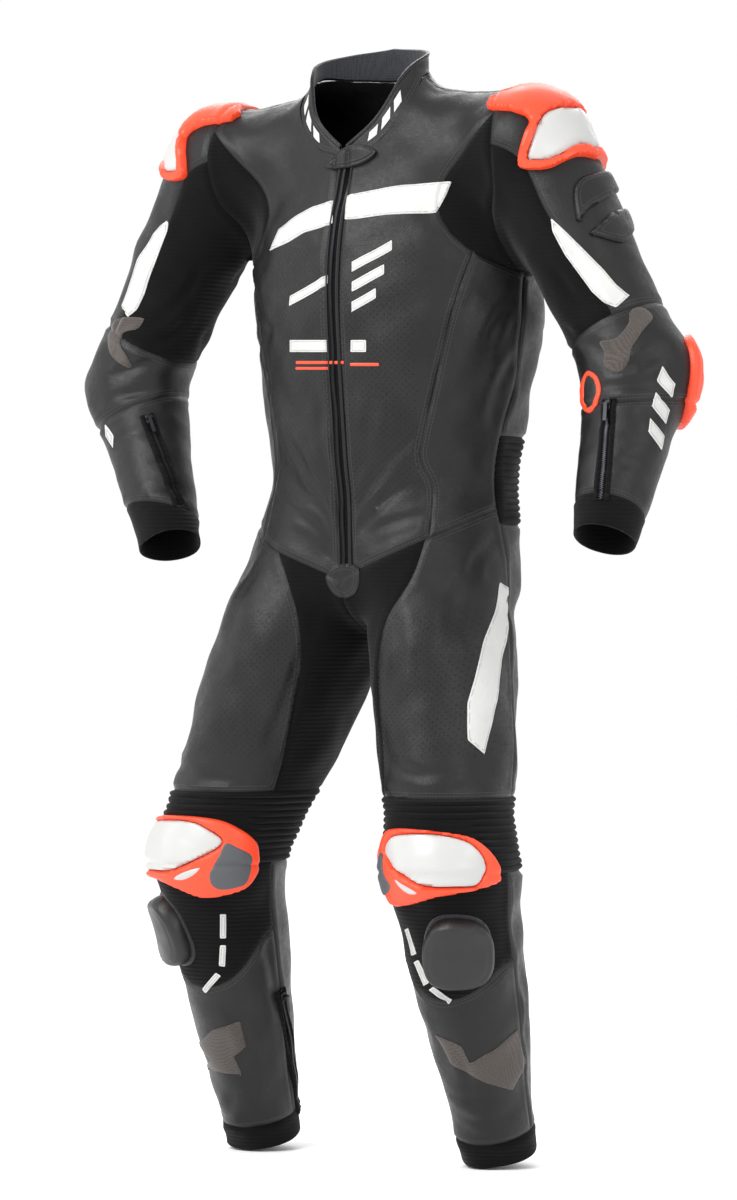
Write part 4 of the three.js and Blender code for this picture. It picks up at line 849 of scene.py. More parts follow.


# %% [markdown]
# ## Folds
# Thick leather folds in a few soft troughs with a ridge on each side. A simulation would put them anywhere,
# so each is given: in front by the photograph's pixels, on the hidden sides by places on the form.

# %%
# three pixels of the photograph that the fold runs through, then its width and depth in millimetres
SEEN_FOLDS = [
    (338, 540, 318, 505, 296, 486, 6, 2.6), (332, 520, 306, 470, 286, 430, 6, 2.2),
    (352, 545, 378, 505, 412, 482, 6, 2.6), (350, 520, 386, 462, 420, 430, 7, 2.2),
    (336, 492, 322, 440, 318, 400, 6, 1.6), (352, 492, 366, 440, 372, 396, 6, 1.6),
    (282, 500, 300, 516, 324, 530, 5, 2.0), (366, 534, 400, 520, 440, 512, 5, 2.0),
    (322, 552, 336, 560, 342, 574, 4, 1.8), (470, 300, 452, 330, 446, 372, 8, 2.4),
    (512, 300, 492, 330, 480, 370, 8, 2.2), (520, 350, 500, 385, 492, 430, 8, 2.0),
    (258, 300, 266, 340, 262, 384, 8, 2.0), (250, 262, 262, 300, 274, 330, 7, 1.8),
    (548, 262, 574, 300, 602, 324, 7, 2.8), (566, 330, 590, 344, 606, 356, 7, 3.0),
    (560, 300, 582, 322, 600, 338, 6, 2.4), (612, 372, 640, 362, 668, 352, 6, 3.0),
    (600, 388, 636, 384, 672, 380, 6, 2.2), (596, 420, 628, 430, 652, 446, 7, 1.8),
    (602, 470, 628, 462, 652, 468, 6, 2.2), (598, 500, 622, 506, 642, 500, 6, 2.0),
    (200, 268, 182, 300, 156, 322, 7, 2.8), (194, 300, 176, 330, 150, 346, 6, 2.4),
    (112, 376, 138, 366, 166, 362, 6, 2.8), (110, 398, 140, 392, 170, 394, 6, 2.2),
    (120, 440, 144, 430, 166, 440, 7, 1.8), (136, 492, 160, 486, 186, 494, 6, 2.2),
    (140, 470, 158, 462, 178, 466, 6, 1.8), (262, 560, 240, 600, 226, 650, 9, 1.8),
    (300, 650, 288, 700, 262, 760, 9, 2.4), (318, 610, 300, 664, 284, 700, 7, 2.0),
    (176, 768, 204, 780, 240, 780, 7, 2.4), (182, 790, 214, 800, 246, 796, 6, 2.2),
    (392, 590, 398, 640, 392, 700, 8, 1.8), (470, 560, 452, 610, 448, 660, 9, 1.8),
    (388, 762, 420, 776, 460, 772, 7, 2.2), (392, 786, 430, 794, 474, 786, 6, 2.2),
    (496, 540, 476, 560, 470, 590, 7, 2.2), (228, 1010, 246, 1040, 256, 1080, 7, 2.2),
    (206, 1090, 232, 1100, 256, 1092, 6, 2.0), (220, 1116, 246, 1124, 270, 1114, 6, 1.8),
    (446, 1090, 474, 1102, 502, 1094, 6, 2.0), (452, 1040, 466, 1066, 470, 1096, 7, 2.0),
    (462, 1118, 490, 1122, 514, 1112, 6, 1.8), (266, 940, 274, 980, 282, 1020, 8, 2.4),
    (520, 960, 526, 1000, 524, 1050, 8, 2.0),
]
# three places on the form near which the fold lies, then its width and depth
HIDDEN_FOLDS = [
    (-120, 140, -330, -60, 150, -352, 20, 152, -350, 9, 2.6),
    (130, 140, -322, 80, 150, -350, 10, 152, -362, 8, 2.4),
    (-170, 60, -250, -140, 110, -290, -90, 150, -310, 9, 2.4),
    (175, 60, -240, 150, 110, -280, 100, 150, -306, 9, 2.4),
    (-180, 60, -170, -150, 110, -200, -110, 140, -205, 8, 2.6),
    (180, 60, -170, 155, 110, -205, 110, 140, -212, 8, 2.6),
    (-60, 110, -520, -90, 120, -560, -100, 110, -620, 10, 2.4),
    (60, 110, -520, 84, 118, -566, 96, 110, -620, 10, 2.4),
    (-40, 100, -640, -90, 100, -660, -150, 80, -650, 9, 3.0),
    (40, 100, -645, 84, 100, -662, 140, 80, -650, 9, 3.0),
    (-100, 30, -780, -150, 40, -796, -200, 20, -786, 8, 3.0),
    (90, 30, -780, 130, 40, -798, 176, 20, -786, 8, 3.0),
    (-110, 20, -930, -170, 20, -940, -220, 0, -926, 8, 3.2),
    (80, 20, -930, 130, 20, -942, 190, 0, -926, 8, 3.2),
    (-120, 40, -960, -170, 50, -976, -230, 10, -966, 8, 2.6),
    (90, 40, -960, 136, 50, -978, 196, 10, -966, 8, 2.6),
    (-130, 70, -1120, -180, 90, -1136, -230, 60, -1126, 8, 2.0),
    (90, 70, -1120, 140, 90, -1138, 190, 60, -1126, 8, 2.0),
    (-300, 60, -300, -350, 70, -320, -400, 40, -330, 8, 2.4),
    (300, 60, -300, 350, 70, -322, 400, 40, -332, 8, 2.4),
    (-290, 60, -240, -320, 70, -262, -370, 60, -256, 8, 2.4),
    (290, 60, -240, 320, 70, -262, 370, 60, -256, 8, 2.4),
    (-220, 60, -120, -240, 66, -170, -270, 60, -210, 8, 2.4),
    (220, 60, -120, 240, 66, -170, 270, 60, -210, 8, 2.4),
    (-320, 20, -420, -340, 10, -400, -380, -10, -390, 8, 2.0),
    (330, 20, -420, 360, 10, -400, 396, -20, -400, 8, 2.0),
]
FOLD_UNEVEN = 0.25


def fold_table():
    """Each fold as a curve on the form, with its width and depth."""
    lines = [settle(seen(np.reshape(row[:-2], (3, 2)))) for row in SEEN_FOLDS]
    lines += [settle(np.reshape(row[:-2], (3, 3)).astype(float), 8) for row in HIDDEN_FOLDS]
    return [(settle(spline(line, 6)), *row[-2:]) for line, row in zip(lines, SEEN_FOLDS + HIDDEN_FOLDS)]


FOLDS = fold_table()
print("folds", len(FOLDS))


def folds(p):
    """Height of the folds: a trough of bell section, with a lower ridge on each side, fading at its ends."""
    height = np.zeros(len(p))
    for number, (line, wide, deep) in enumerate(FOLDS):
        low, high = line.min(0) - 4 * wide, line.max(0) + 4 * wide
        k = np.flatnonzero(((p >= low) & (p <= high)).all(1))
        if not len(k):
            continue
        q, total = p[k], np.linalg.norm(line[1:] - line[:-1], axis=1).sum()
        gap, place, start = np.full(len(k), 1e9), np.zeros(len(k)), 0.0
        for a, b in zip(line[:-1], line[1:]):
            long = max(np.linalg.norm(b - a), 1e-6)
            t = np.clip((q - a) @ (b - a) / long**2, 0, 1)
            d = np.linalg.norm(q - a - t[:, None] * (b - a), axis=1)
            place = np.where(d < gap, start + t * long, place)
            gap = np.minimum(gap, d)
            start += long
        s = place / total
        fade = np.sin(np.pi * np.clip(s * 0.9 + 0.06, 0, 1)) ** 0.8
        fade = fade * (1 + FOLD_UNEVEN * np.sin(9 * s + number * 1.7))
        spread = wide * (0.8 + 0.4 * s)
        bell = np.exp(-((gap / spread) ** 2))
        ridge = np.exp(-(((gap - 1.9 * spread) / spread) ** 2))
        height[k] += deep * fade * (0.5 * ridge - bell)
    return height


# %% [markdown]
# ## The cloth's surface
# Seams, folds and a slow unevenness make cloth look worn. Sculpted, they would leave nothing to fit the
# pieces laid on them. As heights along the form's normal they are one function of place, which every piece
# uses.

# %%
SEAM_DEEP, SEAM_HALF, LIP_HIGH, LIP_AWAY, LIP_HALF = 1.5, 2.2, 0.9, 6.5, 4.2
WAVES = [
    ((0.051, 0.034, 0.043), 0.6, 0.55),
    ((-0.037, 0.058, 0.031), 2.1, 0.5),
    ((0.083, -0.049, 0.066), 4.0, 0.35),
    ((0.021, 0.092, -0.075), 1.2, 0.32),
    ((0.12, 0.04, 0.09), 5.1, 0.2),
    ((-0.1, 0.11, 0.12), 3.3, 0.16),
]
WAVE_SIZE, CALM_BESIDE_SEAM = 1.6, 9


def uneven(p):
    """A sum of sines of place along slanted ways: the slow waves of a filled-out garment."""
    return sum(high * np.sin(p @ np.array(way) + phase) for way, phase, high in WAVES)


def skin(p):
    """The outer surface over points of the form: a bell sunk at the seam, a lip beside it, folds and waves.

    Also gives each point's normal, its distance to the nearest seam and its place along it."""
    normal = unit(slope(p))
    far, run = seam_field(p)
    pinch = LIP_HIGH * np.exp(-(((far - LIP_AWAY) / LIP_HALF) ** 2))
    pinch -= SEAM_DEEP * np.exp(-((far / SEAM_HALF) ** 2))
    height = (folds(p) + WAVE_SIZE * uneven(p)) * smooth(far / CALM_BESIDE_SEAM) + pinch
    return p + normal * height[:, None], normal, far, run


# %% [markdown]
# ## Meshes
# Leather shows its thickness at its edges. A modifier could add it; here each piece is a closed wall from
# the start: an outer face, an inner face and the rim between them.

# %%
finishes = {}


def mesh_piece(name, p, faces, finish, slot, values=None, sharp=40):
    """A mesh object from arrays, in metres, that rides with the suit."""
    mesh = bpy.data.meshes.new(name)
    mesh.vertices.add(len(p))
    mesh.vertices.foreach_set("co", (np.asarray(p) * MM).astype(np.float32).ravel())
    sides = faces.shape[1]
    mesh.loops.add(faces.size)
    mesh.loops.foreach_set("vertex_index", faces.astype(np.int32).ravel())
    mesh.polygons.add(len(faces))
    mesh.polygons.foreach_set("loop_start", np.arange(0, faces.size, sides, dtype=np.int32))
    mesh.polygons.foreach_set("loop_total", np.full(len(faces), sides, dtype=np.int32))
    for key, value in (values or {}).items():
        mesh.attributes.new(key, "FLOAT", "POINT").data.foreach_set("value", np.asarray(value, np.float32))
    mesh.update(calc_edges=True)
    mesh.shade_smooth()
    mesh.set_sharp_from_angle(angle=math.radians(sharp))
    mesh.materials.append(finishes[finish])
    piece = bpy.data.objects.new(name, mesh)
    bpy.context.collection.objects.link(piece)
    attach(piece, "suit")
    return piece


def open_edges(faces):
    """The edges that only one face has, in that face's direction."""
    ends = np.roll(faces, -1, 1)
    edges = np.vstack([np.stack([faces[:, i], ends[:, i]], 1) for i in range(faces.shape[1])])
    key = np.sort(edges, 1) @ np.array([faces.max() + 1, 1])
    _, first, count = np.unique(key, return_index=True, return_counts=True)
    return edges[first[count == 1]]


def wall_of(top, bottom, faces):
    """A closed wall between two surfaces with the same faces."""
    used, local = np.unique(faces, return_inverse=True)
    faces, count = local.reshape(faces.shape), len(used)
    a, b = open_edges(faces).T
    if faces.shape[1] == 4:
        rim = np.stack([b, a, a + count, b + count], 1)
    else:
        rim = np.vstack([np.stack([b, a, a + count], 1), np.stack([b, a + count, b + count], 1)])
    return np.vstack([top[used], bottom[used]]), np.vstack([faces, faces[:, ::-1] + count, rim]), used


def on_both_faces(used, far, run):
    """Each point's distance to its edge or seam and its place along it, for both faces of a wall."""
    return {"seam": np.tile(far[used], 2), "run": np.tile(run[used], 2)}


# %% [markdown]
# ## Finishes
# The suit shows satin cowhide, ribbed knit, rubber, hard plastic, mesh and coated zinc. Painted pictures
# would stretch and blur; nodes on Object coordinates don't, and each pattern's scale is a real size in
# millimetres. One function adds a node with its settings and links.

# %%
def linear(hex_colour):
    """The linear colour of an sRGB hex value."""
    parts = [int(hex_colour[i:i + 2], 16) / 255 for i in (1, 3, 5)]
    return [c / 12.92 if c <= 0.04045 else ((c + 0.055) / 1.055) ** 2.4 for c in parts] + [1.0]


def add(tree, kind, sockets=None, **properties):
    """Adds a node, sets its properties, and gives each socket a number or links what feeds it."""
    node = tree.nodes.new("ShaderNode" + kind)
    for key, value in properties.items():
        setattr(node, key, value)
    for key, value in (sockets or {}).items():
        if isinstance(value, bpy.types.NodeSocket):
            tree.links.new(value, node.inputs[key])
        else:
            node.inputs[key].default_value = value
    return node


def reckon(tree, operation, *values):
    """The result of one sum on numbers or sockets."""
    return add(tree, "Math", dict(enumerate(values)), operation=operation).outputs[0]


def finish(name, colour, rough, **sockets):
    """A new material, its tree and its shader."""
    made = bpy.data.materials.new(name)
    made.use_nodes = True
    shader = made.node_tree.nodes["Principled BSDF"]
    shader.inputs["Base Color"].default_value = linear(colour)
    shader.inputs["Roughness"].default_value = rough
    for key, value in sockets.items():
        shader.inputs[key.replace("_", " ")].default_value = value
    finishes[name] = made
    return made.node_tree, shader


def per_metre(size_mm):
    """A texture scale that repeats about once in a size in millimetres."""
    return 1000 / size_mm


def spread_roughness(tree, shader, pattern, low, high):
    """Roughness that goes from low to high with a pattern."""
    ends = {"From Min": 0.3, "From Max": 0.7, "To Min": low, "To Max": high}
    node = add(tree, "MapRange", {"Value": pattern, **ends})
    tree.links.new(node.outputs["Result"], shader.inputs["Roughness"])


def bumps(tree, shader, *layers):
    """Stacks height patterns, each with its strength and its height in metres."""
    normal = None
    for height, strength, high in layers:
        sockets = {"Height": height, "Strength": strength, "Distance": high}
        if normal is not None:
            sockets["Normal"] = normal
        normal = add(tree, "Bump", sockets).outputs["Normal"]
    tree.links.new(normal, shader.inputs["Normal"])


def two_tone(tree, pattern, first, second, low, high):
    """A colour that goes from first to second between two values of a pattern."""
    ramp = add(tree, "ValToRGB", {"Fac": pattern})
    ramp.color_ramp.elements[0].color, ramp.color_ramp.elements[1].color = linear(first), linear(second)
    ramp.color_ramp.elements[0].position, ramp.color_ramp.elements[1].position = low, high
    return ramp.outputs["Color"]


def over(tree, where, under, colour):
    """One colour laid over another where a mask is one."""
    return add(tree, "Mix", {0: where, 6: under, 7: linear(colour)}, data_type="RGBA").outputs[2]


STITCH_PITCH, THREAD_HALF = 4.2, 0.55


def stitches(tree, rows):
    """Where thread shows: dashes in rows beside a seam, by the cloth's own seam and run values."""
    far = add(tree, "Attribute", attribute_name="seam").outputs["Fac"]
    run = add(tree, "Attribute", attribute_name="run").outputs["Fac"]
    dash = reckon(tree, "LESS_THAN", reckon(tree, "FRACT", reckon(tree, "DIVIDE", run, STITCH_PITCH)), 0.7)
    shown = 0.0
    for row in rows:
        near = reckon(tree, "ABSOLUTE", reckon(tree, "SUBTRACT", far, row))
        shown = reckon(tree, "ADD", shown, reckon(tree, "LESS_THAN", near, THREAD_HALF))
    return reckon(tree, "MULTIPLY", shown, dash)


HOLE_PITCH, HOLE_HALF = 5.6, 1.05


def perforation(tree, place):
    """Punched holes on a square grid turned by an eighth, from the front, where the cloth's value says so."""
    turned = add(tree, "Mapping", {"Vector": place, "Rotation": (0, math.radians(45), 0),
                                   "Scale": (per_metre(HOLE_PITCH),) * 3})
    parts = add(tree, "SeparateXYZ", {"Vector": turned.outputs["Vector"]})
    away = [reckon(tree, "SUBTRACT", reckon(tree, "FRACT", parts.outputs[axis]), 0.5) for axis in "XZ"]
    squares = [reckon(tree, "MULTIPLY", value, value) for value in away]
    far = reckon(tree, "SQRT", reckon(tree, "ADD", *squares))
    hole = reckon(tree, "LESS_THAN", far, HOLE_HALF / HOLE_PITCH)
    where = add(tree, "Attribute", attribute_name="pierced").outputs["Fac"]
    return reckon(tree, "MULTIPLY", hole, reckon(tree, "GREATER_THAN", where, 0.5))


# Real grain is under a millimetre; it is drawn coarser, so that it shows.
GRAIN = 1.5


def leather(name, colour, worn, rough, thread, rows=(3.2, 6.8), holes=False, coat=0.12):
    """Cowhide, dyed through and finished satin: a pebbled grain, and broad patches a little paler at random.
    """
    tree, shader = finish(name, colour, rough, Coat_Weight=coat, Coat_Roughness=0.42, Specular_IOR_Level=0.3)
    place = add(tree, "TexCoord").outputs["Object"]
    grain = add(tree, "TexVoronoi", {"Vector": place, "Scale": per_metre(GRAIN)}, feature="DISTANCE_TO_EDGE")
    fine = add(tree, "TexNoise", {"Vector": place, "Scale": per_metre(7), "Detail": 5.0, "Roughness": 0.62})
    broad = add(tree, "TexNoise", {"Vector": place, "Scale": per_metre(70), "Detail": 3.0})
    sewn = stitches(tree, rows)
    tone = over(tree, sewn, two_tone(tree, broad.outputs["Fac"], colour, worn, 0.38, 0.68), thread)
    layers = [
        (grain.outputs["Distance"], 0.28, 0.0012),
        (fine.outputs["Fac"], 0.3, 0.0014),
        (sewn, 0.6, 0.0006),
    ]
    if holes:
        pierced = perforation(tree, place)
        # Each hole is coloured black: painted shade in the opening, over the dark inside of the suit.
        tone = over(tree, pierced, tone, "#000000")
        layers.append((reckon(tree, "SUBTRACT", 1.0, pierced), 0.8, 0.0012))
    tree.links.new(tone, shader.inputs["Base Color"])
    spread_roughness(tree, shader, fine.outputs["Fac"], rough - 0.07, rough + 0.1)
    bumps(tree, shader, *layers)


def stretch(name, colour, rib, rough=0.86):
    """Ribbed aramid stretch cloth, knitted: fine level ribs that catch little light, with a soft nap."""
    nap_light = {"Sheen_Weight": 0.06, "Sheen_Roughness": 0.5, "Specular_IOR_Level": 0.12}
    tree, shader = finish(name, colour, rough, **nap_light)
    place = add(tree, "TexCoord").outputs["Object"]
    ribs = add(tree, "TexWave", {"Vector": place, "Scale": per_metre(rib) / 6.28, "Distortion": 1.2},
               bands_direction="Z")
    nap = add(tree, "TexNoise", {"Vector": place, "Scale": per_metre(1.6), "Detail": 3.0})
    spread_roughness(tree, shader, nap.outputs["Fac"], rough - 0.05, rough + 0.08)
    bumps(tree, shader, (ribs.outputs["Fac"], 0.5, 0.0008), (nap.outputs["Fac"], 0.35, 0.0006),
          (stitches(tree, (3.2,)), 0.5, 0.0006))


def moulded(name, colour, rough, grit=0.9, strength=0.2, coat=0.0, metal=0.0):
    """A moulded or coated surface with a fine texture from its tool."""
    tree, shader = finish(name, colour, rough, Coat_Weight=coat, Coat_Roughness=0.25, Metallic=metal)
    place = add(tree, "TexCoord").outputs["Object"]
    grain = add(tree, "TexNoise", {"Vector": place, "Scale": per_metre(grit), "Detail": 2.0})
    broad = add(tree, "TexNoise", {"Vector": place, "Scale": per_metre(22), "Detail": 4.0})
    spread_roughness(tree, shader, broad.outputs["Fac"], rough - 0.06, rough + 0.08)
    bumps(tree, shader, (grain.outputs["Fac"], strength, 0.0005))


def mesh_cloth(name, colour, pitch, rough=0.9):
    """Warp-knitted mesh: a grid of small openings with a soft thread between them."""
    tree, shader = finish(name, colour, rough, Sheen_Weight=0.25, Sheen_Roughness=0.5)
    place = add(tree, "TexCoord").outputs["Object"]
    sockets = {"Vector": place, "Scale": per_metre(pitch), "Randomness": 0.25}
    cells = add(tree, "TexVoronoi", sockets, feature="F1")
    tone = two_tone(tree, cells.outputs["Distance"], "#050506", colour, 0.18, 0.42)
    tree.links.new(tone, shader.inputs["Base Color"])
    bumps(tree, shader, (cells.outputs["Distance"], 0.6, 0.0008))


leather("black cowhide", "#0d0d0e", "#141415", 0.40, "#2c2c2f", coat=0.05)
leather("pierced black cowhide", "#0d0d0e", "#141415", 0.41, "#2c2c2f", holes=True, coat=0.05)
leather("white cowhide", "#bebebc", "#c6c6c4", 0.42, "#a2a2a0", rows=(2.0,))
stretch("black stretch knit", "#060607", 2.6)
stretch("thick stretch knit", "#09090a", 3.4)
moulded("red orange rubber", "#ea4420", 0.44)
moulded("white shell plastic", "#b6b6b4", 0.36, grit=1.2, strength=0.08, coat=0.15)
moulded("black moulded plastic", "#101011", 0.42, strength=0.35)
moulded("grey moulded plastic", "#4a4c50", 0.5, strength=0.3)
moulded("black coated zinc", "#2c2d30", 0.36, grit=1.5, strength=0.1, metal=0.85)
mesh_cloth("grey suede mesh", "#463f3b", 2.0)
mesh_cloth("dark mesh lining", "#26272d", 3.0)
mesh_cloth("looped pile", "#1d1d20", 1.8, 0.95)
print("finishes", len(finishes))

# %% [markdown]
# ## The sewn pieces
# Each panel keeps the outline that its seams give it, so none has to be drawn. Its cut size is the flat
# cloth that it takes, estimated from the panel's own measures.

# %%
# width and length of the flat cut in millimetres
CUTS = {
    "back": (620, 470), "back_stretch": (420, 130), "main_zip": (20, 520), "front_R": (215, 560),
    "front_L": (215, 550), "side_R": (130, 370), "side_L": (150, 370), "thigh_front_R": (290, 360),
    "thigh_front_L": (240, 360), "thigh_back_R": (260, 340), "thigh_back_L": (220, 340),
    "thigh_inner_R": (230, 340), "thigh_inner_L": (260, 360), "knee_stretch_R": (540, 130),
    "knee_stretch_L": (530, 130), "collar": (440, 62), "collar_lining": (420, 58),
}
SAME_CUTS = {
    "gusset": (90, 230), "sleeve_outer": (250, 330), "sleeve_inner": (260, 290), "elbow": (370, 150),
    "forearm": (360, 190), "cuff": (290, 60), "knee_panel": (240, 170), "shin": (230, 260),
    "calf": (310, 350), "hem": (320, 60),
}
CUTS |= {name + side: size for side in ("_R", "_L") for name, size in SAME_CUTS.items()}
PIERCED = {"front_R", "front_L", "thigh_front_R", "thigh_front_L"}
PIERCED_HALF, PIERCED_CHEST, PIERCED_THIGHS = 96, (-470, -160), (-770, -600)
RIDGED = {"knee_stretch_R", "knee_stretch_L", "back_stretch"}
# a panel's stated area is never below this share of its cut, which the frame asks of a sheet
LEAST_OF_CUT = 0.31


def pierced_places(p):
    """One where the leather is perforated: the chest's middle and the thighs' upper fronts."""
    x, z = p[:, 0], p[:, 2]
    chest = (np.abs(x - 5) < PIERCED_HALF) & (z > PIERCED_CHEST[0]) & (z < PIERCED_CHEST[1])
    thigh = (z > PIERCED_THIGHS[0]) & (z < PIERCED_THIGHS[1])
    return (chest | thigh).astype(np.float32)


skin_top, skin_normal, skin_far, skin_run = skin(points)
skin_bottom = skin_top - skin_normal * WALL
skin_pierced = pierced_places(points)


def area_of(p, faces):
    """Area of a mesh of triangles, in square millimetres."""
    a, b, c = (p[faces[:, i]] for i in range(3))
    return np.linalg.norm(np.cross(b - a, c - a), axis=1).sum() / 2


def declare(cut_size, area):
    """Works out a sewn piece's cut, width times length, and its area held between a share of that and all of
    it; the result is not kept.
    """
    width, length = cut_size
    whole = width * length
    area = min(max(area, LEAST_OF_CUT * whole), whole)


def cloth_of(name):
    """The finish and the slot of a panel."""
    if name == "main_zip":
        return "thick stretch knit", "zip_metal"
    if name in STRETCH:
        return "black stretch knit", "stretch_black"
    return "pierced black cowhide" if name in PIERCED else "black cowhide", "leather_black"


def sew_net_pieces():
    """Every piece that keeps the net's triangles."""
    for number, name in enumerate(names):
        if name in RIDGED:
            continue
        faces = tris[piece_of == number]
        p, all_faces, used = wall_of(skin_top, skin_bottom, faces)
        values = on_both_faces(used, skin_far, skin_run) | {"pierced": np.tile(skin_pierced[used], 2)}
        piece = mesh_piece(name + "_cloth", p, all_faces, *cloth_of(name), values)
        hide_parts(name)
        declare(CUTS[name], area_of(points, faces))
        print(name, len(all_faces), "faces")


sew_net_pieces()


# %% [markdown]
# ## The ridged stretch panels
# Over the knees and the lower back the knit is sewn into level ridges, so that it opens as the wearer
# bends. Bump would leave their outline smooth, so each is a grid of its own, fine enough to carry the
# ridges.

# %%
RIDGE_PITCH = 7.9
RIDGE_ROWS = 7
KNEE_BANDS = {"L": (-818.0, -905.0, (148, -88)), "R": (-816.0, -903.0, (-184, -88))}
KNEE_RISE, BACK_RISE = 3.0, 2.6
BACK_TOP, BACK_FOOT, BACK_X, BACK_Y = -388.0, -494.0, 7, 20.0
KNEE_COLUMNS, BACK_COLUMNS = 144, 120


def ridges(down, total, rise):
    """Rounded ridges with sharp valleys: the size of a sine of the way down, to the power 0.7."""
    count = round(total / RIDGE_PITCH)
    wave = np.abs(np.sin(np.pi * count * down / total)) ** 0.7
    return rise * (wave - 0.35) * smooth(np.minimum(down, total - down) / 4 + 0.15)


def grid_faces(rows, columns, closed):
    """Quads of a grid, its last column joined to the first where it is closed."""
    index = np.arange(rows * columns).reshape(rows, columns)
    if closed:
        index = np.concatenate([index, index[:, :1]], 1)
    a, b, c, d = index[:-1, :-1], index[1:, :-1], index[1:, 1:], index[:-1, 1:]
    return np.stack([a, b, c, d], -1).reshape(-1, 4)


def sew_grid(name, plain, height, closed, turned=False):
    """A sewn piece from a grid of points on the plain form and a height for each."""
    rows, columns = plain.shape[:2]
    flat = plain.reshape(-1, 3)
    top, normal, far, run = skin(flat)
    top = top + normal * height.reshape(-1, 1)
    faces = grid_faces(rows, columns, closed)
    if turned:
        faces = faces[:, ::-1]
    p, all_faces, used = wall_of(top, top - normal * WALL, faces)
    piece = mesh_piece(name + "_cloth", p, all_faces, "thick stretch knit", "stretch_black",
                       on_both_faces(used, far, run), sharp=60)
    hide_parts(name)
    tri = np.vstack([faces[:, [0, 1, 2]], faces[:, [0, 2, 3]]])
    declare(CUTS[name], area_of(flat, tri))
    print(name, len(all_faces), "faces")


def around(x, y, level, angle, aside, ahead, between):
    """A grid cast from an upright line inside: aside and ahead are the directions' two parts."""
    middle = np.stack([x + 0 * angle, y + 0 * angle, level], -1).reshape(-1, 3)
    out = np.stack([aside, ahead, 0 * angle], -1).reshape(-1, 3)
    return cast(middle, out, *between).reshape(*angle.shape, 3)


for side, (top_level, foot_level, (x, y)) in KNEE_BANDS.items():
    rows = round((top_level - foot_level) / RIDGE_PITCH) * RIDGE_ROWS
    level = np.linspace(top_level, foot_level, rows + 1)[:, None]
    angle = np.linspace(0, 2 * np.pi, KNEE_COLUMNS, endpoint=False)[None]
    angle, level = np.broadcast_arrays(angle, level)
    plain = around(x, y, level, angle, np.sin(angle), -np.cos(angle), (20, 160))
    # flat under the cup, which lies on the front of the band's lower half
    under_cup = np.maximum(smooth((plain[..., 1] + 140) / 15), smooth((level + 847) / 8))
    height = ridges(top_level - level, top_level - foot_level, KNEE_RISE) * under_cup
    sew_grid("knee_stretch_" + side, plain, height, True)

BODY_SIDE = spline(MIRRORED_SEAMS[3][3])
rows = round((BACK_TOP - BACK_FOOT) / RIDGE_PITCH) * RIDGE_ROWS
level = np.linspace(BACK_TOP, BACK_FOOT, rows + 1)
side_y = np.interp(-level, -BODY_SIDE[:, 1], BODY_SIDE[:, 0])
heart = np.stack([BACK_X + 0 * level, side_y, level], 1)
ends = [cast(heart, np.tile([sign, 0.0, 0.0], (len(level), 1)), 60, 260) for sign in (-1, 1)]
turns = [np.arctan2(end[:, 1] - BACK_Y, end[:, 0] - BACK_X) for end in ends]
turns[0] = np.where(turns[0] < 0, turns[0] + 2 * np.pi, turns[0])
share = np.linspace(0, 1, BACK_COLUMNS)[None]
angle = turns[0][:, None] * (1 - share) + turns[1][:, None] * share
level = np.broadcast_to(level[:, None], angle.shape)
plain = around(BACK_X, BACK_Y, level, angle, np.cos(angle), np.sin(angle), (40, 260))
sew_grid("back_stretch", plain, ridges(BACK_TOP - level, BACK_TOP - BACK_FOOT, BACK_RISE), False, turned=True)


# %% [markdown]
# ## Pieces laid on the cloth
# Insets, patches, cups and sliders follow the cloth. Modelled flat and bent, they would float or sink. Each
# starts as the part of the net that faces a look, made finer, cut along its outline and raised by a
# profile.

# %%
def turned_look(toward, up, middle):
    """A look from outside towards a middle: its right, up and ahead are at right angles."""
    ahead = -unit(np.array(toward, float))
    up = np.array(up, float)
    up = unit(up - ahead * (up @ ahead))
    return Look(np.cross(ahead, up), up, ahead, middle)


class PhotoLook(Look):
    """The photograph's own look: its picture is in millimetres at the suit's distance."""

    def __init__(self):
        super().__init__(VIEW_RIGHT, (0, 0, 1), VIEW_AHEAD, camera_place)

    def flat(self, p):
        away = p - self.middle
        return (away @ self.axes.T) * (CAMERA_FAR / (away @ self.ahead))[:, None]


PHOTO = PhotoLook()


class RoundLook(Look):
    """A look that wraps round an upright line inside: its places across are arcs at one radius."""

    def __init__(self, look, radius):
        super().__init__(*look.axes, look.ahead, look.middle + look.ahead * radius)
        self.radius = radius

    def flat(self, p):
        away = p - self.middle
        turn = np.arctan2(away @ self.axes[0], -(away @ self.ahead))
        return np.stack([self.radius * turn, away @ self.axes[1]], 1)


def in_photo(pixels):
    """Pixels of the photograph as places in its look."""
    pixels = np.asarray(pixels, float)
    return (pixels - (PHOTO_WIDE / 2, PHOTO_HIGH / 2)) * (MM_PER_PIXEL, -MM_PER_PIXEL)


def round_outline(points_2d, per_span=8):
    """A closed Catmull-Rom curve through its points."""
    p = np.asarray(points_2d, float)
    count = len(p)
    t = (np.arange(per_span) / per_span)[:, None]
    out = []
    for i in range(count):
        a, b, c, d = (p[(i + k) % count] for k in (-1, 0, 1, 2))
        out.append(catmull_rom(a, b, c, d, t))
    out = np.vstack(out)
    return np.vstack([out, out[:1]])


def straight_outline(points_2d, corner=3.0):
    """A closed line with its corners cut by a short length."""
    p = np.asarray(points_2d, float)
    before, after = unit(np.roll(p, 1, 0) - p) * corner, unit(np.roll(p, -1, 0) - p) * corner
    out = np.stack([p + before, p + 0.3 * (before + after), p + after], 1).reshape(-1, 2)
    return np.vstack([out, out[:1]])


def superellipse(wide, high, fullness, share=1.0, turns=48):
    """A rounded rectangle: |x/wide|^n + |y/high|^n = share^n."""
    a = np.arange(turns) * 2 * np.pi / turns
    size = share / (np.abs(np.cos(a)) ** fullness + np.abs(np.sin(a)) ** fullness) ** (1 / fullness)
    out = np.stack([size * np.cos(a) * wide, size * np.sin(a) * high], 1)
    return np.vstack([out, out[:1]])


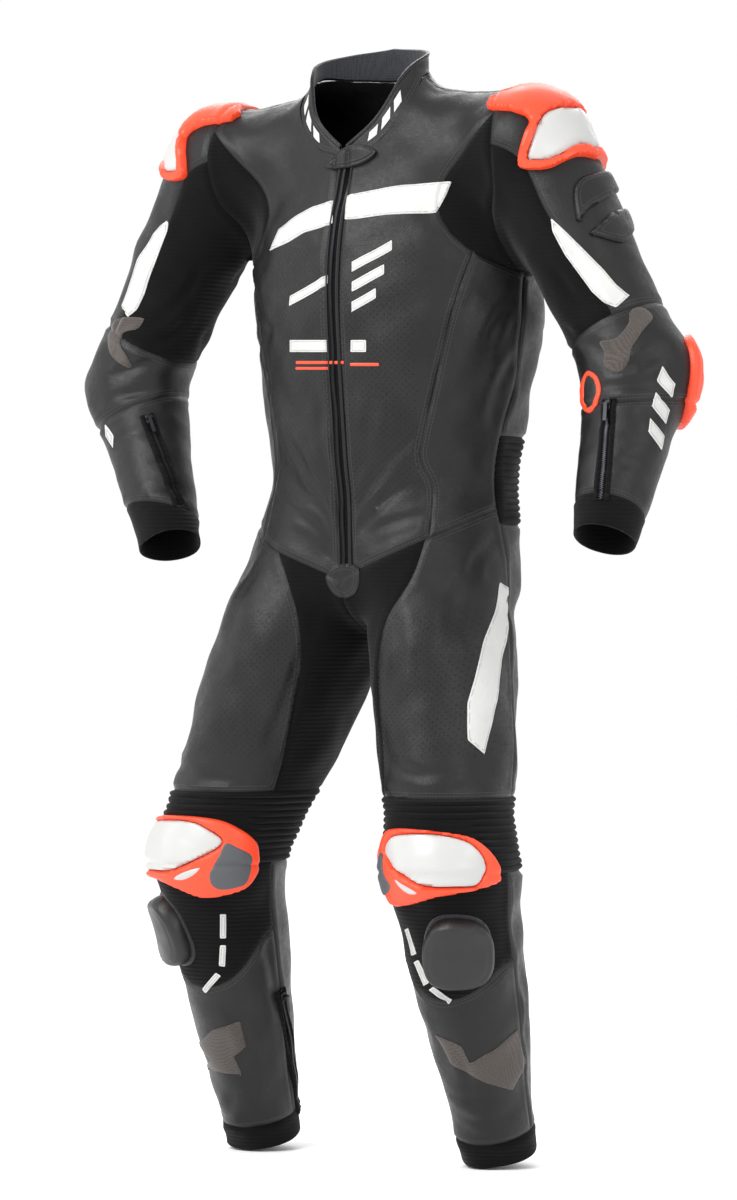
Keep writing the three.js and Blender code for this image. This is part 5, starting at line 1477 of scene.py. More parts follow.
def quarter_round(far, wide):
    """An edge that rises as a quarter of a circle: the root of 1 less (1 - far/wide) squared."""
    return np.sqrt(np.clip(1 - (1 - np.clip(far / wide, 0, 1)) ** 2, 0, 1))


def winding(flat, outline):
    """Whether places are inside a closed outline, by the edges that a level ray crosses."""
    inside = np.zeros(len(flat), bool)
    for (x1, y1), (x2, y2) in zip(outline[:-1], outline[1:]):
        if y1 == y2:
            continue
        over = (flat[:, 1] > min(y1, y2)) & (flat[:, 1] <= max(y1, y2))
        inside ^= over & (flat[:, 0] < x1 + (flat[:, 1] - y1) * (x2 - x1) / (y2 - y1))
    return inside


def outline_distance(flat, outline):
    """Distance of places from a closed outline."""
    best = np.full(len(flat), 1e9)
    for a, b in zip(outline[:-1], outline[1:]):
        long = max(((b - a) ** 2).sum(), 1e-9)
        t = np.clip(((flat - a) @ (b - a)) / long, 0, 1)
        best = np.minimum(best, np.linalg.norm(flat - a - t[:, None] * (b - a), axis=1))
    return best


def finer(p, faces):
    """Each triangle as four, by the middles of its edges."""
    edges = edges_of(faces)
    unique, back = np.unique(edges, axis=0, return_inverse=True)
    m = len(p) + back.reshape(3, -1)
    a, b, c = faces.T
    ab, bc, ca = m
    p = np.vstack([p, (p[unique[:, 0]] + p[unique[:, 1]]) / 2])
    return p, np.vstack([np.stack(f, 1) for f in ((a, ab, ca), (ab, b, bc), (ca, bc, c), (ab, bc, ca))])


net_normal = unit(slope(net_points))


def region_under(look, outlines, times, heart, reach, facing=0.1):
    """The net inside the first outline, finer, and cut along every outline."""
    outline = outlines[0]
    flat = look.flat(net_points)
    low, high = outline.min(0) - 12, outline.max(0) + 12
    near = ((flat > low) & (flat < high)).all(1) & (net_normal @ -look.ahead > facing)
    near &= np.linalg.norm(net_points - heart, axis=1) < reach
    faces = net_tris[near[net_tris].all(1)]
    used, local = np.unique(faces, return_inverse=True)
    p, faces = net_points[used], local.reshape(-1, 3)
    for _ in range(times):
        p, faces = finer(p, faces)
    p = settle(p, 2)
    p, faces, mask = cut(p, faces, [Seam(look, -9999, 9999, line) for line in outlines])
    inside = winding(look.flat(p[faces].mean(1)), outline)
    faces = faces[inside]
    used, local = np.unique(faces, return_inverse=True)
    return p[used], local.reshape(-1, 3)


# how far a laid piece's sole is sunk into the cloth
SOLE = 1.2


def lay(name, look, outline, rise, cloth, slot, heart, reach=200.0, inner=None, times=1, edge=2.0, under=0.4,
        height=None, replaces=(), sheet=None, sharp=50, facing=0.1):
    """A piece laid on the cloth: rise is its height inside, reached over the width of its edge."""
    outlines = [outline] + ([] if inner is None else [inner])
    p, faces = region_under(look, outlines, times, np.array(heart, float), reach, facing)
    if inner is not None:
        faces = faces[~winding(look.flat(p[faces].mean(1)), inner)]
    flat = look.flat(p)
    far = outline_distance(flat, outline)
    if inner is not None:
        far = np.minimum(far, outline_distance(flat, inner))
    top, normal, _, _ = skin(p)
    lift = rise * quarter_round(far, edge) * 0.75 + rise * 0.25
    if height is not None:
        lift = height(flat, far)
    run = np.arctan2(flat[:, 1] - flat[:, 1].mean(), flat[:, 0] - flat[:, 0].mean()) * 40
    outer, inner_face = top + normal * (under + lift)[:, None], top + normal * (under - SOLE)
    walls, all_faces, used = wall_of(outer, inner_face, faces)
    piece = mesh_piece(name, walls, all_faces, cloth, slot, on_both_faces(used, far, run), sharp)
    area = area_of(p, faces)
    print(name, len(faces), "faces,", round(area / 100, 1), "square cm")
    if replaces:
        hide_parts(*replaces)
    if sheet:
        declare(sheet, area)
    return piece


def on_photo(pixels):
    """The middle, on the form, of what shows at some pixels."""
    return seen(np.array([np.mean(pixels, 0)]))[0]


# %% [markdown]
# ## White insets
# Smooth white leather let into the chest, sleeves and thighs, turned under and topstitched. Colouring the
# black panel would be less work, but the step at its edge catches the light, so each is a thin piece.

# %%
CHEST_BAND = [
    (270, 251), (279, 229), (312, 207), (352, 194), (402, 185), (452, 181), (446, 196), (436, 213),
    (388, 215), (344, 220), (305, 233), (285, 244),
]
ZIP_GAP_R, ZIP_GAP_L = 333, 345
band = np.array(CHEST_BAND, float)


def clipped(outline, keep_left, at):
    """The part of an outline on one side of an upright line."""
    out = []
    count = len(outline)
    for i in range(count):
        a, b = outline[i], outline[(i + 1) % count]
        a_in, b_in = (a[0] < at) == keep_left, (b[0] < at) == keep_left
        if a_in:
            out.append(a)
        if a_in != b_in:
            out.append(a + (b - a) * (at - a[0]) / (b[0] - a[0]))
    return np.array(out)


BLADE_L = [
    (550, 217), (564, 230), (584, 250), (603, 269), (616, 285), (629, 296), (616, 308), (603, 302),
    (592, 292), (579, 274), (566, 256), (553, 232),
]
BLADE_R = [
    (168, 220), (167, 232), (157, 260), (145, 293), (137, 309), (128, 317), (121, 305), (129, 282),
    (139, 258), (153, 234), (161, 225),
]
THIGH_BLADE = [
    (499, 582), (509, 588), (505, 640), (496, 700), (485, 754), (468, 740), (467, 704), (482, 650),
    (494, 612),
]
WHITE_INSET = (1.1, "white cowhide", "leather_white")
for name, outline, corner, facing, size in (
    ("chest_band_R", clipped(band, True, ZIP_GAP_R), 1.2, 0.1, (90, 48)),
    ("chest_band_L", clipped(band, False, ZIP_GAP_L), 1.2, 0.1, (150, 46)),
    ("sleeve_blade_L", BLADE_L, 1.5, -0.05, (130, 30)),
    ("sleeve_blade_R", BLADE_R, 1.5, -0.05, (125, 28)),
    ("thigh_blade_L", THIGH_BLADE, 1.5, -0.05, (215, 40)),
):
    lay(name + "_inset", PHOTO, straight_outline(in_photo(outline), corner), *WHITE_INSET, on_photo(outline),
        replaces=(name,), sheet=size, facing=facing)

# The right thigh's inset is hidden; it is the left one's outline, mirrored on the right leg's side.
SIDE_LOOK_R = turned_look((-1, -0.35, 0), (0, 0, 1), (-210, -60, -660))
RIGHT_THIGH_BLADE = [
    (-44, 100), (-36, 96), (-22, 40), (0, -30), (24, -96), (14, -104), (-6, -82), (-20, -30), (-36, 40),
]
lay("thigh_blade_R_inset", SIDE_LOOK_R, round_outline(RIGHT_THIGH_BLADE), *WHITE_INSET, (-226, -60, -660),
    replaces=("thigh_blade_R",), sheet=(215, 46), facing=-0.05)

# %% [markdown]
# ## Armour cups
# A cup is a hard shell under a raised rubber rim; on the knees a lower panel is cut away to let air in. It
# could be a free solid, but it has to hug its limb, so rim and plate are laid on too and share one dome.

# %%
def dome_over(middle, wide, high, crown, fall):
    """A dome: the crown times one less the fall times the square of the share of the way out."""
    def dome(flat):
        share = np.hypot((flat[:, 0] - middle[0]) / wide, (flat[:, 1] - middle[1]) / high)
        return crown * (1 - fall * np.clip(share, 0, 1.2) ** 2)

    return dome


def sew_cup(name, look, rim_line, plate_line, heart, dome, rim_edge, plate_edge, facing, reach=200.0,
            groove=0.0, rim_times=1, plate_cloth="white shell plastic"):
    """A rubber rim, rounded at both edges and grooved inside them where asked, and the plate in it."""
    def rim_height(flat, far):
        edge = quarter_round(far, rim_edge)
        return 1.5 + (dome(flat) + 0.8) * edge - groove * np.exp(-(((far - 3.6) / 0.9) ** 2))

    def plate_height(flat, far):
        return dome(flat) * (0.55 + 0.4 * quarter_round(far, plate_edge))

    lay(name + "_rim", look, rim_line, 1.0, "red orange rubber", "leather_red", heart, inner=plate_line,
        height=rim_height, replaces=(name,), facing=facing, reach=reach, times=rim_times)
    lay(name + "_plate", look, plate_line, 1.0, plate_cloth, "leather_white", heart, height=plate_height,
        facing=facing, reach=reach)


# outlines of the rim, the plate, the vent and the flap in it, in the photograph's pixels
KNEE_RIM_R = [
    (148, 870), (148, 852), (151, 830), (162, 817), (185, 816), (219, 820), (238, 828), (252, 838),
    (257, 849), (255, 871), (244, 886), (228, 893), (213, 896), (200, 895), (182, 887), (163, 878),
    (150, 874),
]
KNEE_PLATE_R = [
    (151, 866), (150, 849), (154, 831), (159, 823), (172, 821), (194, 823), (207, 829), (221, 839),
    (219, 846), (207, 854), (188, 863), (176, 868), (162, 869),
]
KNEE_VENT_R = [
    (225, 843), (235, 847), (247, 854), (247, 865), (243, 879), (234, 884), (220, 886), (212, 881),
    (210, 872), (214, 863), (219, 854),
]
KNEE_FLAP_R = [
    (180, 875), (187, 870), (201, 866), (196, 872), (187, 876),
]
KNEE_RIM_L = [
    (383, 852), (388, 835), (397, 829), (422, 830), (446, 833), (468, 838), (483, 848), (495, 862),
    (498, 876), (494, 883), (477, 889), (458, 892), (437, 895), (411, 904), (397, 905), (390, 898),
    (385, 876),
]
KNEE_PLATE_L = [
    (389, 851), (392, 842), (400, 836), (425, 835), (446, 837), (465, 843), (475, 851), (482, 861),
    (483, 870), (479, 879), (472, 885), (452, 885), (428, 884), (411, 877), (398, 868), (391, 858),
]
KNEE_VENT_L = [
    (385, 858), (388, 854), (391, 873), (396, 884), (393, 891), (389, 892), (386, 876),
]
KNEE_FLAP_L = [
    (402, 878), (409, 882), (421, 889), (414, 890), (406, 885),
]
for name, rim, plate, vent, flap in (
    ("knee_cup_R", KNEE_RIM_R, KNEE_PLATE_R, KNEE_VENT_R, KNEE_FLAP_R),
    ("knee_cup_L", KNEE_RIM_L, KNEE_PLATE_L, KNEE_VENT_L, KNEE_FLAP_L),
):
    heart, dome = on_photo(rim), dome_over(in_photo(rim).mean(0), 70, 50, 9.5, 0.35)
    rim_line, plate_line = round_outline(in_photo(rim)), round_outline(in_photo(plate))
    sew_cup(name, PHOTO, rim_line, plate_line, heart, dome, 4, 2.5, -0.1)

    def vent_height(flat, far):
        """Just above the rim, so that it shows."""
        return dome(flat) + 2.4 + 0.9 * np.clip(far / 1.5, 0, 1)

    for number, outline, cloth in ((1, vent, "grey moulded plastic"), (2, flap, "white shell plastic")):
        line = round_outline(in_photo(outline))
        lay(f"{name}_vent_{number}", PHOTO, line, 1.0, cloth, "plastic_black", heart, height=vent_height,
            facing=-0.1, times=2)


# %%
# The front half of the left cup as the photograph shows it; the back half is its mirror image.
SHOULDER_RIM = [
    (491, 102), (511, 112), (525, 117), (529, 123), (525, 131), (521, 144), (518, 158), (521, 168),
    (536, 170), (551, 168), (563, 162), (576, 157),
]
SHOULDER_PLATE = [
    (553, 112), (540, 121), (533, 138), (528, 156), (531, 160), (548, 160), (562, 153), (577, 146),
]


CUP_CROWN, ELBOW_CUP = 8.5, (43, 54)


def mirrored_outline(look, pixels, foot):
    """The outline of a cup in its look: what shows, a lowest point, and the mirror image behind."""
    flat = look.flat(seen(pixels))
    front = round_outline(np.vstack([flat, flat[::-1] * (-1, 1)]), 3)[: 3 * (len(flat) - 1) + 1]
    return np.vstack([front, [(0, foot)], front[::-1] * (-1, 1), front[:1]])


for sign, side in ((1, "L"), (-1, "R")):
    toward = (0.75 * sign, 0, 0.62)
    middle = np.array([205 * sign, -8, -70.0])
    heart = cast(middle, unit(np.array([toward], float)))[0]
    look = RoundLook(turned_look(toward, (-0.3 * sign, 0, 1), heart), 80)
    if side == "L":
        rim_line = mirrored_outline(look, SHOULDER_RIM, -52)
        plate_line = mirrored_outline(look, SHOULDER_PLATE, -39)
    else:
        rim_line, plate_line = rim_line + (0, 12), plate_line + (0, 12)
    dome = dome_over((0, 0), 130, 72, CUP_CROWN, 0.3)
    sew_cup("shoulder_cup_" + side, look, rim_line, plate_line, heart, dome, 2.6, 3, -0.35, 140, 1.1, 2)
    toward = (0.8 * sign, 0.6, -0.12)
    middle = np.array([350 * sign, -8, -322.0 if sign > 0 else -318.0])
    heart = cast(middle, unit(np.array([toward], float)))[0]
    look = turned_look(toward, (0.1 * sign, 0, 1), heart)
    dome = dome_over((0, 0), *ELBOW_CUP, CUP_CROWN, 0.3)
    rim, plate = superellipse(*ELBOW_CUP, 2.3), superellipse(*ELBOW_CUP, 2.3, 0.62)
    sew_cup("elbow_cup_" + side, look, rim, plate, heart, dome, 2.6, 3, -0.35, 140, 1.1, 2,
            "red orange rubber")

# %% [markdown]
# ## Knee sliders
# A puck of hard plastic, held by a hook pad, touches the road in a bend. It could be a bevelled block; laid
# on with a profile, its sole follows the shin. Its face is flat, with a softened edge and a shallow ring.

# %%
SLIDER_LOOKS = {"L": ((146, -60, -998), (0.42, -1, 0.02)), "R": ((-188, -60, -988), (-0.62, -1, 0.02))}


def slider_height(flat, far):
    """A flat face, rounded towards its edge, over a lower step, with a shallow groove inside the rim."""
    groove = np.exp(-(((far - 9) / 1.6) ** 2)) * 1.2
    return 3.0 + 17.5 * quarter_round(far, 9) - groove


for side, (middle, toward) in SLIDER_LOOKS.items():
    heart = cast(np.array(middle, float), unit(np.array([toward], float)))[0]
    look = turned_look(toward, (0, 0.1, 1), heart)
    name = "knee_slider_" + side
    lay(name + "_pad", look, superellipse(39, 45, 2.8), 2.0, "looped pile", "stretch_black", heart)
    lay(name + "_puck", look, superellipse(36, 42, 2.7), 20, "black moulded plastic", "plastic_black", heart,
        height=slider_height, replaces=(name,), under=1.6)

# %% [markdown]
# ## Patches and small bars
# Suede mesh in the elbows' crooks and on the shins, pads on the upper arm, a patch at the crotch and small
# bars of colour. A bar could be a mask in the leather, but a thin piece keeps a clean edge at any size of
# picture.

# %%
def bar(x0, y0, x1, y1, high):
    """The outline of a bar from one place to another, with upright ends."""
    return [(x0, y0), (x1, y1), (x1, y1 + high), (x0, y0 + high)]


# height, finish and slot
SUEDE = (1.2, "grey suede mesh", "leather_black")
LEATHER = (1.2, "black cowhide", "leather_black")
HIGH_PAD = (5.0, "black cowhide", "leather_black")
LOW_PAD = (4.5, "black cowhide", "leather_black")
ORANGE_PRINT = (0.5, "red orange rubber", "leather_red")
WHITE_TAB = (0.6, "white cowhide", "leather_white")
WHITE_PRINT = (0.5, "white cowhide", "leather_white")
ROUNDED = ("elbow", "crotch", "upper")
# name, kind and outline in the photograph's pixels
PATCHES = [
    ("elbow_patch_L", SUEDE, [(640, 308), (652, 318), (642, 332), (632, 348), (628, 362), (618, 372),
        (605, 366), (604, 352), (600, 342), (616, 338), (628, 324), (630, 312)]),
    ("elbow_patch_R", SUEDE, [(126, 317), (142, 318), (143, 322), (137, 329), (126, 332), (121, 339),
        (122, 347), (128, 357), (131, 367), (124, 366), (112, 356), (108, 343), (111, 329), (117, 320)]),
    ("shin_patch_R", SUEDE, [(199, 1044), (212, 1030), (240, 1022), (246, 1046), (234, 1056), (242, 1074),
        (226, 1072), (206, 1068), (212, 1058)]),
    ("shin_patch_L", SUEDE, [(436, 1034), (462, 1046), (470, 1062), (494, 1050), (516, 1030), (526, 1062),
        (512, 1090), (486, 1082), (470, 1074), (452, 1062)]),
    ("crotch_patch", LEATHER, [(326, 577), (334, 566), (350, 564), (360, 572), (356, 592), (344, 598),
        (332, 592)]),
    ("upper_arm_pad_1", HIGH_PAD, [(578, 222), (574, 203), (575, 186), (584, 176), (603, 172), (613, 180),
        (617, 192), (603, 200), (589, 209)]),
    ("upper_arm_pad_2", LOW_PAD, [(589, 234), (599, 224), (613, 212), (624, 210), (631, 224), (632, 233),
        (624, 242), (611, 241), (599, 238)]),
    ("chest_bar_1", ORANGE_PRINT, bar(296, 361, 344, 361, 3)),
    ("chest_bar_2", ORANGE_PRINT, bar(296, 367, 330, 367, 2.6)),
    ("chest_bar_3", ORANGE_PRINT, bar(350, 363, 379, 363, 3)),
    ("forearm_bar_1", WHITE_TAB, [(662, 366), (676, 384), (672, 398), (658, 380)]),
    ("forearm_bar_2", WHITE_TAB, [(656, 392), (670, 410), (666, 424), (652, 406)]),
    ("forearm_bar_3", WHITE_TAB, [(650, 418), (664, 436), (660, 450), (647, 432)]),
    ("forearm_bar_4", WHITE_TAB, [(106, 424), (114, 436), (113, 448), (106, 436)]),
    ("chest_slash_1", WHITE_PRINT, bar(352, 262, 392, 240, 10)),
    ("chest_slash_2", WHITE_PRINT, bar(352, 282, 384, 264, 10)),
    ("chest_slash_3", WHITE_PRINT, bar(352, 302, 376, 288, 10)),
    ("chest_slash_4", WHITE_PRINT, bar(290, 296, 328, 274, 10)),
    ("chest_dash_1", WHITE_PRINT, bar(290, 340, 328, 340, 12)),
    ("chest_dash_2", WHITE_PRINT, bar(350, 340, 366, 340, 12)),
    ("knee_dash_L1", WHITE_PRINT, [(404, 930), (408, 928), (416, 954), (411, 956)]),
    ("knee_dash_L2", WHITE_PRINT, [(414, 962), (418, 960), (430, 982), (425, 985)]),
    ("knee_dash_L3", WHITE_PRINT, [(430, 989), (434, 986), (452, 1000), (449, 1004)]),
    ("knee_dash_R1", WHITE_PRINT, bar(220, 914, 226, 914, 24)),
    ("knee_dash_R2", WHITE_PRINT, [(220, 945), (226, 945), (225, 966), (219, 965)]),
    ("knee_dash_R3", WHITE_PRINT, [(216, 972), (221, 975), (206, 993), (202, 989)]),
]
for name, (rise, cloth, slot), outline in PATCHES:
    place = in_photo(outline)
    shape = round_outline(place) if name.startswith(ROUNDED) else straight_outline(place, 1.0)
    lay(name, PHOTO, shape, rise, cloth, slot, on_photo(outline), facing=-0.05, edge=min(4.0, rise * 3),
        times=1 if len(outline) > 4 else 2)

# A ring of orange rubber round a small blank badge on the left forearm.
BADGE = [
    (590, 371), (599, 378), (601, 392), (596, 406), (588, 413), (582, 405), (581, 392), (584, 378),
]
BADGE_INNER = [
    (590, 376), (596, 382), (597, 393), (593, 403), (588, 408), (585, 402), (584.5, 392), (586, 381),
]
badge_line, badge_inner = round_outline(in_photo(BADGE)), round_outline(in_photo(BADGE_INNER))
lay("forearm_badge_ring", PHOTO, badge_line, 1.6, "red orange rubber", "leather_red", on_photo(BADGE),
    inner=badge_inner, times=2, edge=1.5)
lay("forearm_badge", PHOTO, badge_inner, 0.8, "black moulded plastic", "plastic_black", on_photo(BADGE),
    times=2, edge=1.5)


# %% [markdown]
# ## Collar, tab and zips
# The stand is one band of leather on the neck's form, bound on top, with a mesh lining. Each zip is a
# knitted tape with a corded edge, two rows of teeth and a slider. An array modifier could place the teeth;
# here their places are worked out along the zip's line at once, and every tooth is the same few faces.

# %%
COLLAR_TOP = np.array([(0, -42), (30, -8), (60, 42), (90, 68), (135, 84), (180, 91)], float)
COLLAR_OPENING, COLLAR_SEAM, COLLAR_ON_FORM, COLLAR_LEAN = 3.0, 0.6, 56.0, 0.06


def on_collar(turn, share, start=0.0):
    """Places on the stand by the turn round the neck in degrees and the share of its height.

    Above the form the stand goes straight on along the neck and leans out a little."""
    bare = np.where(turn > 180, 360 - turn, turn)
    low = along(NECKLINE[:, 0], NECKLINE[:, 1], bare) + COLLAR_SEAM
    high = along(COLLAR_TOP[:, 0], COLLAR_TOP[:, 1], bare)
    level = np.maximum(low + (high - low) * share, low + start)
    bound = np.minimum(level, COLLAR_ON_FORM)
    neck, angle = LIMB["neck"], np.radians(turn)
    middle = neck.start + neck.axis * ((bound - neck.start[2]) / neck.axis[2])[:, None]
    out = np.stack([np.sin(angle), -np.cos(angle), 0 * angle], 1)
    p = cast(middle, out)
    normal = unit(slope(p))
    past = (level - bound)[:, None]
    return p + neck.axis / neck.axis[2] * past + out * past * COLLAR_LEAN, normal, level - low, high - level


def collar_band(name, first, last, rows, columns, outer, inner, start, cloth, slot, replaces=(), bind=0.0):
    """A band of the stand between two turns, with its top edge bound where it is asked for."""
    turn, share = np.meshgrid(np.linspace(first, last, columns), np.linspace(0, 1, rows), indexing="ij")
    p, normal, above, below = on_collar(turn.ravel(), share.ravel(), start)
    ends = np.minimum(turn.ravel() - first, last - turn.ravel()) * 1.3
    far = np.minimum(np.minimum(above, below), ends)
    roll = bind * np.exp(-(((below - 2.2) / 2.4) ** 2)) - 0.6 * bind * np.exp(-(((below - 6.2) / 0.9) ** 2))
    wave = 0.5 * uneven(p)
    top = p + normal * (roll + wave - outer)[:, None]
    under = p - normal * (inner + roll - wave)[:, None]
    faces = grid_faces(columns, rows, False)
    walls, all_faces, used = wall_of(top, under, faces)
    values = on_both_faces(used, far, turn.ravel() * 1.25)
    piece = mesh_piece(name, walls, all_faces, cloth, slot, values, 60)
    if replaces:
        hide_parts(*replaces)
    return piece, area_of(p, np.vstack([faces[:, :3], faces[:, [0, 2, 3]]]))


collar_turns = (COLLAR_OPENING, 360 - COLLAR_OPENING)
collar, collar_area = collar_band("collar_stand", *collar_turns, 34, 241, 0.0, 1.6, 0, "black cowhide",
                                  "leather_black", ("collar",), 1.1)
declare(CUTS["collar"], collar_area)
lining, lining_area = collar_band("collar_mesh", *collar_turns, 16, 161, 2.6, 3.8, 3, "dark mesh lining",
                                  "lining", ("collar_lining",))
declare(CUTS["collar_lining"], lining_area)
print("collar", round(collar_area / 100), "and lining", round(lining_area / 100), "square cm")

# Three slanted bars on each side of the stand.
for first in (24, 36, 48, 302, 314, 326):
    turn, share = np.meshgrid(np.linspace(0, 8, 9), np.linspace(0.28, 0.62, 9), indexing="ij")
    lean = 6 * (share - 0.45) * (1 if first < 180 else -1)
    p, normal, _, _ = on_collar((first + turn + lean).ravel(), share.ravel())
    walls, all_faces, used = wall_of(p + normal * 0.9, p - normal * 0.2, grid_faces(9, 9, False))
    mesh_piece(f"collar_bar_{first}", walls, all_faces, "white cowhide", "leather_white",
               {"seam": np.full(len(used) * 2, 9.0), "run": np.zeros(len(used) * 2)})


def path_on_form(path, step):
    """Evenly spaced places along a line on the form, with the normal, the run and the side at each."""
    line = settle(spline(path, 24))
    run = np.concatenate([[0], np.cumsum(np.linalg.norm(np.diff(line, axis=0), axis=1))])
    at = np.linspace(0, run[-1], max(3, round(run[-1] / step) + 1))
    line = settle(np.stack([np.interp(at, run, line[:, k]) for k in range(3)], 1), 2)
    normal = unit(slope(line))
    ahead = unit(np.gradient(line, axis=0))
    return line, normal, ahead, unit(np.cross(ahead, normal)), at


def sew_strip(name, path, half, shares, height, cloth, slot, replaces=(), step=1.6, sole=-0.8):
    """A strip along a path: its half width by share of the run, its rise by run, offset and half width."""
    line, normal, ahead, side, at = path_on_form(path, step)
    wide = half(at / at[-1])
    offset = wide[:, None] * np.asarray(shares)[None]
    flat = settle((line[:, None] + side[:, None] * offset[..., None]).reshape(-1, 3), 3)
    top, up, _, _ = skin(flat)
    run = np.repeat(at, len(shares))
    rise = height(run, offset.ravel(), np.repeat(wide, len(shares)))
    faces = grid_faces(len(line), len(shares), False)
    walls, all_faces, used = wall_of(top + up * rise[:, None], top + up * sole, faces)
    far = np.minimum(np.repeat(wide, len(shares)) - np.abs(offset.ravel()), np.minimum(run, at[-1] - run))
    piece = mesh_piece(name, walls, all_faces, cloth, slot, on_both_faces(used, far, run), 60)
    print(name, round(at[-1]), "mm long")
    if replaces:
        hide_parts(*replaces)
    return piece


def even(count):
    """Even places from -1 to 1."""
    return np.linspace(-1, 1, count)


def tab_half(t):
    """The tab's half width: pointed at its fixed end and round at the other."""
    return np.maximum(12.8 * np.sin(np.pi * t**1.25) ** 0.6, 0.4)


def tab_height(run, offset, wide):
    """Flat leather with a raised edge inside its stitching."""
    far = wide - np.abs(offset)
    return 4.6 + 1.1 * np.sqrt(np.clip(far / 2.5, 0, 1)) - 0.8 * np.exp(-(((far - 3.4) / 0.8) ** 2))


TAB_LINE = [
    (327, 168), (352, 157), (377, 152),
]
sew_strip("closing_tab", seen(TAB_LINE), tab_half, even(25), tab_height, "black cowhide", "leather_black",
          ("collar_tab",), 1.2)

TAPE_HALF, CORD_AT, CORD_HALF, CORD_HIGH = 9.5, 6.2, 2.1, 2.0
TOOTH_PITCH, TOOTH_SIZE = 2.5, np.array([0.72, 1.55, 0.95])


def tape_height(run, offset, wide):
    """A flat tape with a cord sewn in on each side of the teeth."""
    cord = np.sqrt(np.clip(1 - ((np.abs(offset) - CORD_AT) / CORD_HALF) ** 2, 0, 1))
    return 1.2 + CORD_HIGH * cord


CUBE = np.array([(x, y, z) for x in (-1, 1) for y in (-1, 1) for z in (-1, 1)], float)
CUBE_FACES = np.array([(0, 1, 3, 2), (4, 6, 7, 5), (0, 4, 5, 1), (2, 3, 7, 6), (0, 2, 6, 4), (1, 5, 7, 3)])


def blocks(middle, axes, size):
    """Many boxes at once: middles, three directions for each, and one half size; the top is narrower."""
    shape = CUBE * size * np.where(CUBE[:, 2:] > 0, (0.8, 0.8, 1), 1)
    corners = middle[:, None] + np.einsum("ij,njk->nik", shape, axes)
    faces = CUBE_FACES[None] + 8 * np.arange(len(middle))[:, None, None]
    return corners.reshape(-1, 3), faces.reshape(-1, 4)


def sew_teeth(name, path, lift):
    """Two rows of moulded teeth that take turns along the zip."""
    line, normal, ahead, side, at = path_on_form(path, TOOTH_PITCH / 2)
    top = skin(line)[0]
    aside = np.where(np.arange(len(line)) % 2 == 0, -0.75, 0.75)[:, None]
    p, faces = blocks(top + normal * lift + side * aside, np.stack([ahead, side, normal], 1), TOOTH_SIZE)
    return mesh_piece(name, p, faces, "black coated zinc", "zip_metal")


def rounded_block(middle, axes, size, fullness=5.0, turns=28, rows=15):
    """A block with soft edges: a ball whose sines and cosines are raised to 2/fullness."""
    def soft(value):
        """A sine or cosine pressed towards one and minus one."""
        return np.sign(value) * np.abs(value) ** (2 / fullness)

    a = (np.arange(turns) * 2 * np.pi / turns)[None]
    b = (np.linspace(-1, 1, rows) * np.pi / 2 * 0.999)[:, None]
    local = np.stack([soft(np.cos(b)) * soft(np.cos(a)), soft(np.cos(b)) * soft(np.sin(a)),
                      soft(np.sin(b)) + 0 * a], -1).reshape(-1, 3)
    faces = grid_faces(rows, turns, True)[:, ::-1]
    return middle + (local * size) @ axes, faces


def joined(*parts):
    """Several meshes of quads as one."""
    p, faces, count = [], [], 0
    for points_in, faces_in in parts:
        p.append(points_in)
        faces.append(faces_in + count)
        count += len(points_in)
    return np.vstack(p), np.vstack(faces)


# Each small zip: its line on the form, and the pin of its slider, place and direction.
SMALL_ZIPS = {
    "forearm_zip_L": ([(353, -87, -353), (358, -108, -412), (363, -127, -470)],
                      (353.742, -96.979, -357.76), (0.996734, 0.040822, 0.069681)),
    "forearm_zip_R": ([(-297, -69, -355), (-268, -77, -412), (-239, -84, -468)],
                      (-288.856, -76.224, -358.365), (0.698999, 0.665971, 0.260542)),
    "leg_zip_R": ([(-124, -36, -1064), (-134, 4, -1142), (-149, 50, -1222)],
                  (-116.88, -32.359, -1072.884), (0.096173, 0.89229, 0.441101)),
    "leg_zip_L": ([(80, -36, -1064), (86, 4, -1142), (99, 50, -1222)],
                  (73.187, -32.318, -1072.468), (0.076319, -0.891226, -0.447092)),
}
# height of a slider's pin over the cloth
PIN_HIGH = 7.4
for name, (path, pin, across) in SMALL_ZIPS.items():
    sew_strip(name + "_tape", path, lambda t: TAPE_HALF + 0 * t, even(39), tape_height, "thick stretch knit",
              "zip_metal", (name,), 2.0)
    sew_teeth(name + "_teeth", path, 1.9)
    pin, across = np.array(pin), np.array(across)
    up = slope(pin[None])[0]
    up = unit(up - across * (up @ across))
    axes = np.stack([np.cross(across, up), across, up])
    foot = pin - up * PIN_HIGH
    parts = [rounded_block(foot + up * 2.85, axes, (6.2, 4.2, 2.05), 4.0)]
    for ear in (-3.5, 3.5):
        parts.append(rounded_block(foot + up * 6.6 + across * ear, axes, (2.0, 0.7, 2.6), 3.5))
    parts.append(rounded_block(pin, axes, (0.7, 3.5, 0.7), 2.4))
    mesh_piece(name + "_slider", *joined(*parts), "black coated zinc", "zip_metal")



def cord_height(run, offset, wide):
    """A round cord: the root of one less (offset/wide) squared."""
    return 0.3 + 1.9 * np.sqrt(np.clip(1 - (offset / wide) ** 2, 0, 1))


MAIN_CHAIN = [
    (6, -93, -58), (-1, -110, -130), (2, -121, -290), (7, -110, -450), (9, -103, -545),
]
for side_at in (-7.6, 7.6):
    line, normal, ahead, side_way, at = path_on_form(MAIN_CHAIN, 8)
    sew_strip(f"main_zip_cord_{1 if side_at < 0 else 2}", line + side_way * side_at, lambda t: 2.0 + 0 * t,
              even(9), cord_height, "black cowhide", "leather_black", step=2.4)
sew_teeth("main_zip_teeth", MAIN_CHAIN, 0.9)

